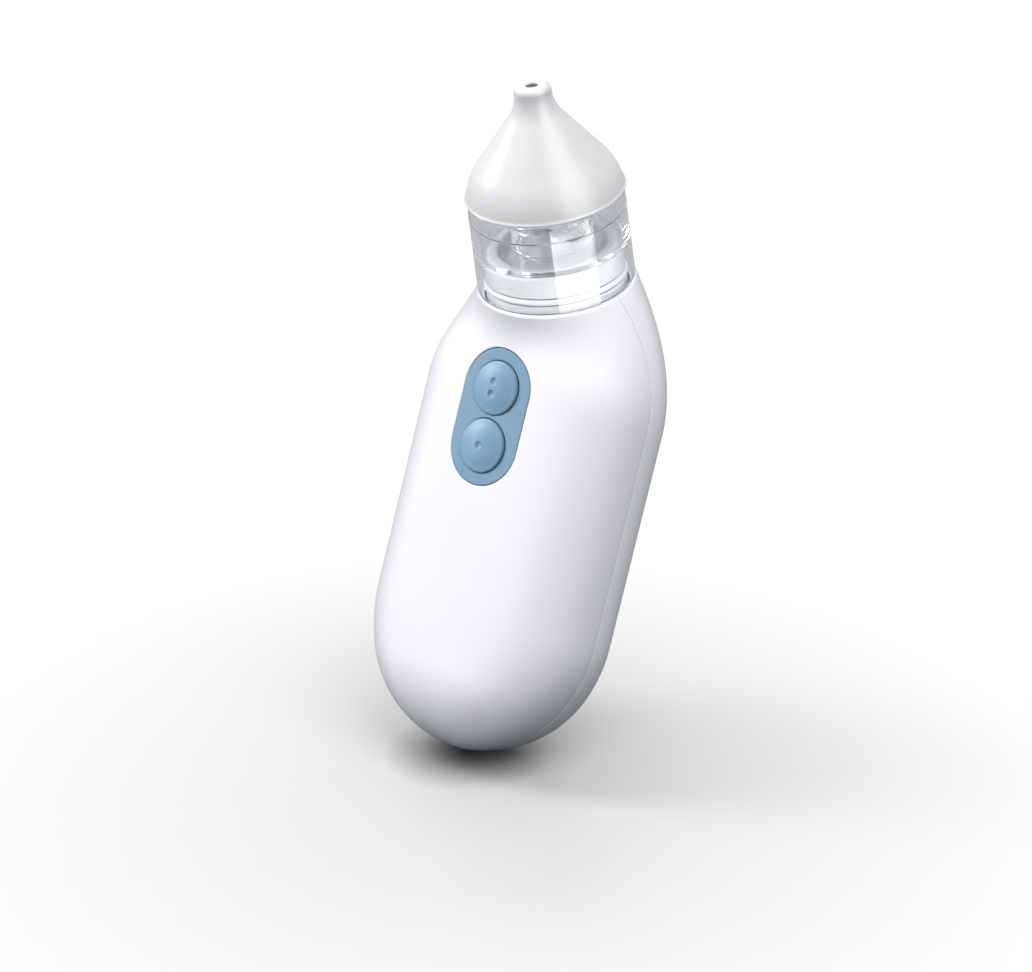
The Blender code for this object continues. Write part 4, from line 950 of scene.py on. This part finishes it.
def tip_profile():
    """Inside and outside of the tip, with a soft lip, a small bead round its lower edge and
    the socket that slips over the cup's spigot."""
    lip = arc((TIP_NECK_RADIUS - TIP_LIP, TIP_TOP - TIP_LIP), TIP_LIP, 0, 100, 14)
    mouth = arc((TIP_HOLE + TIP_MOUTH, TIP_TOP - TIP_MOUTH - 0.05), TIP_MOUTH, 90, 180, 8)
    outside = tip_curve(0.0, 26)
    bead = arc((TIP_RADIUS - TIP_BEAD - 0.01, TIP_LOW + TIP_BEAD), TIP_BEAD, -90, 60, 8)
    inside = [point for point in tip_curve(TIP_WALL, 18)
              if point[1] > SPIGOT_TOP + 1.0 and point[0] > TIP_HOLE + 0.4]
    bore = SPIGOT_RADIUS + TIP_PLAY
    socket = [(bore, SPIGOT_TOP + 2 * TIP_PLAY), (bore, TIP_LOW + TIP_PLAY),
              (bore + TIP_PLAY, TIP_LOW)]
    return (bead + outside + lip + mouth + [(TIP_HOLE, inside[-1][1] + 1.0)] + inside[::-1]
            + socket)


def add_head():
    add_piece("plug_skin", turned(plug_profile()), NOZZLE, "handle", "shell_white", "neck_plug")
    wire = arc((SEAL_RADIUS, SEAL_HEIGHT), SEAL_WIRE, 0, 345, 23)
    add_piece("seal_ring", turned(wire), NOZZLE, "handle", "seal_silicone", "plug_seal")
    add_piece("clear_cup", turned(cup_profile()), NOZZLE, "cup", "cup_clear", "collection_cup")
    add_piece("soft_tip", turned(tip_profile()), NOZZLE, "tip", "tip_silicone", "silicone_tip")


# ---------------- CAD nodes that stay


def finish_cad_nodes():
    """Give every CAD node the finish of its material slot."""
    slots = {part["node"]: part["material_slot"] for part in frame["record"]["subparts"]}
    for name, node in frame["nodes"].items():
        node.data.materials.clear()
        node.data.materials.append(LOOKS[slots[name]])


# ---------------- stage


def camera_axes():
    """The camera's right, up and back directions in the row frame."""
    flat = cos(CAMERA_ELEVATION)
    back = Vector((sin(CAMERA_AZIMUTH) * flat, -cos(CAMERA_AZIMUTH) * flat, sin(CAMERA_ELEVATION)))
    right = Vector((0, 0, 1)).cross(back).normalized()
    return right, back.cross(right), back


def from_seat(across, above, toward):
    """The place this far from the seat along the camera's axes, in mm, in the row frame."""
    right, up, back = camera_axes()
    return SEAT + (right * across + up * above + back * toward) * MM


def add_camera():
    data = bpy.data.cameras.new("camera")
    data.lens, data.sensor_width, data.sensor_fit = CAMERA_LENS, CAMERA_SENSOR, "HORIZONTAL"
    camera = bpy.data.objects.new("camera", data)
    bpy.context.scene.collection.objects.link(camera)
    place = from_seat(CAMERA_ASIDE, CAMERA_ABOVE, CAMERA_DISTANCE)
    turn = Matrix(camera_axes()).transposed().to_4x4()
    camera.matrix_world = Matrix.Translation(place) @ turn
    bpy.context.scene.camera = camera


def area_light(name, size, radiance, diffuse=True, glossy=True, only_on=()):
    """A rectangular light of a size in millimetres, which the camera doesn't see.  With
    only_on it reaches the pieces of those names and no other."""
    data = bpy.data.lights.new(name, "AREA")
    data.shape = "RECTANGLE"
    data.size, data.size_y = size[0] * MM, size[1] * MM
    data.energy = radiance * pi * data.size * data.size_y
    light = bpy.data.objects.new(name, data)
    light.visible_camera = False
    light.visible_diffuse = diffuse
    light.visible_glossy = glossy
    bpy.context.scene.collection.objects.link(light)
    if only_on:
        lit = bpy.data.collections.new(f"{name}_lit")
        for piece in only_on:
            lit.objects.link(bpy.data.objects[piece])
        light.light_linking.receiver_collection = lit
    return light


def add_softbox(name, place, size, radiance, aim=SOFTBOX_AIM, **reach):
    """An area light at a place in camera directions from the seat, which faces aim."""
    light = area_light(name, size, radiance, **reach)
    light.location = from_seat(*place)
    light.rotation_mode = "QUATERNION"
    facing = from_seat(*aim) - from_seat(*place)
    light.rotation_quaternion = facing.to_track_quat("-Z", "Y")


def add_cup_card():
    """A bright card stood parallel to the cup's axis, in front of it and to the camera's
    right, so that the cup mirrors it as one straight-sided patch."""
    back = camera_axes()[2]
    level = (back - NOZZLE_UP * back.dot(NOZZLE_UP)).normalized()
    level.rotate(Matrix.Rotation(CARD_AZIMUTH, 3, NOZZLE_UP))
    aside = NOZZLE_UP.cross(level)
    place = level * CARD_DISTANCE + aside * CARD_ASIDE + NOZZLE_UP * CARD_LEVEL
    turn = Matrix((aside, NOZZLE_UP, level)).transposed().to_4x4()
    card = area_light("cup_card", CARD_SIZE, CARD_RADIANCE, diffuse=False, only_on=["clear_cup"])
    card.matrix_world = Matrix.Translation(SEAT + place * MM) @ turn


def add_world():
    """White behind the object for the camera, and for its lighting a studio that is bright
    above and to the camera's left and dim low on the right."""
    world = bpy.data.worlds.new("studio")
    world.use_nodes = True
    world.node_tree.nodes.clear()
    bpy.context.scene.world = world
    made = Nodes(world.node_tree)
    place = made.node("TexCoord").outputs["Generated"]
    bright = Vector((0, 0, STUDIO_RISE)) - camera_axes()[0] * STUDIO_LEFT
    dot = made.node("VectorMath", {0: place, 1: bright.normalized()}, operation="DOT_PRODUCT")
    share = made.node("MapRange", {"Value": dot.outputs["Value"], "From Min": -1.0})
    ramp = made.node("ValToRGB", {"Fac": share.outputs["Result"]})
    for element, tone in zip(ramp.color_ramp.elements, STUDIO_TONES):
        element.color = (*tone, 1)
    studio = made.node("Background", {"Color": ramp.outputs["Color"]})
    white = made.node("Background", {"Color": (1, 1, 1, 1), "Strength": BACKDROP})
    mixed = made.mixed(made.scattered(), white.outputs["Background"],
                       studio.outputs["Background"])
    made.node("OutputWorld", {"Surface": mixed})


def floor_look():
    """A pale satin floor that darkens under the foot in a painted shadow, fades into the white behind it farther
    off, and throws little light back up."""
    look = Look("floor_pale")
    fine = look.noise(30.0, 2.0)
    toward = camera_axes()[2]
    front = Vector((toward.x, toward.y, 0)).normalized() * FLOOR_SHIFT
    from_foot = look.node("VectorMath", {0: look.place}, operation="LENGTH")
    from_front = look.node("VectorMath", {0: look.place, 1: front}, operation="DISTANCE")
    # Painted shadow: the floor's colour darkens towards the foot
    tone = look.between(from_foot.outputs["Value"], PAINTED_SHADOW_TONE, FLOOR_TONE, 0.0, PAINTED_SHADOW_REACH)
    fade = look.between(from_front.outputs["Value"], 0.0, 1.0, *FLOOR_FADE)
    look.use(Base_Color=tone, Roughness=look.between(fine, 0.38, 0.44),
             Specular_IOR_Level=FLOOR_SHEEN)
    white = look.node("Emission", {"Strength": BACKDROP})
    dim = look.node("BsdfDiffuse", {"Color": (*FLOOR_BOUNCE, 1)})
    seen = look.mixed(fade, look.shader.outputs["BSDF"], white.outputs["Emission"])
    surface = look.mixed(look.scattered(), seen, dim.outputs["BSDF"])
    look.feed(look.output, {"Surface": surface})
    return look.material


def add_floor(foot):
    sheet = Sheet()
    corners = [(x * FLOOR_REACH, y * FLOOR_REACH, 0)
               for x, y in ((-1, -1), (1, -1), (1, 1), (-1, 1))]
    sheet.faces.append(tuple(sheet.ring(corners)))
    floor = make_piece("floor", sheet, Matrix.Identity(4), floor_look())
    floor.location = foot


def add_stage(foot):
    """The floor, the white backdrop, soft lights and the camera.  Clear plastic needs long
    light paths, so that no edge of it turns black."""
    scene = bpy.context.scene
    scene.view_settings.view_transform = "Standard"
    scene.cycles.max_bounces = LIGHT_BOUNCES
    scene.cycles.glossy_bounces = LIGHT_BOUNCES
    scene.cycles.transmission_bounces = LIGHT_BOUNCES
    add_world()
    add_floor(foot)
    add_softbox("key", (-650, 500, 40), (240, 620), 10.4)
    add_softbox("fill", (160, 290, 380), (420, 420), 4.0, glossy=False)
    add_softbox("low", (-420, -40, 420), (300, 300), 2.0, glossy=False)
    add_softbox("card", (420, 40, 480), (520, 700), 5.0, (0, 10, 0), diffuse=False,
                only_on=["soft_tip"])
    add_softbox("button_side", (-520, -50, 60), (200, 200), 24.0, glossy=False,
                only_on=["dome_high", "dome_low"])
    add_cup_card()
    add_camera()


def build():
    front, rear = Skin(-1), Skin(1)
    finish_cad_nodes()
    add_shells(front, rear)
    add_surround(front)
    add_buttons()
    add_cover(rear)
    add_case_posts()
    add_head()
    lowest = min((point for row in front.grid for point in row), key=lambda p: (HANDLE @ p).z)
    foot = HANDLE @ lowest
    foot.z = cad_low.z
    add_stage(foot)


build()
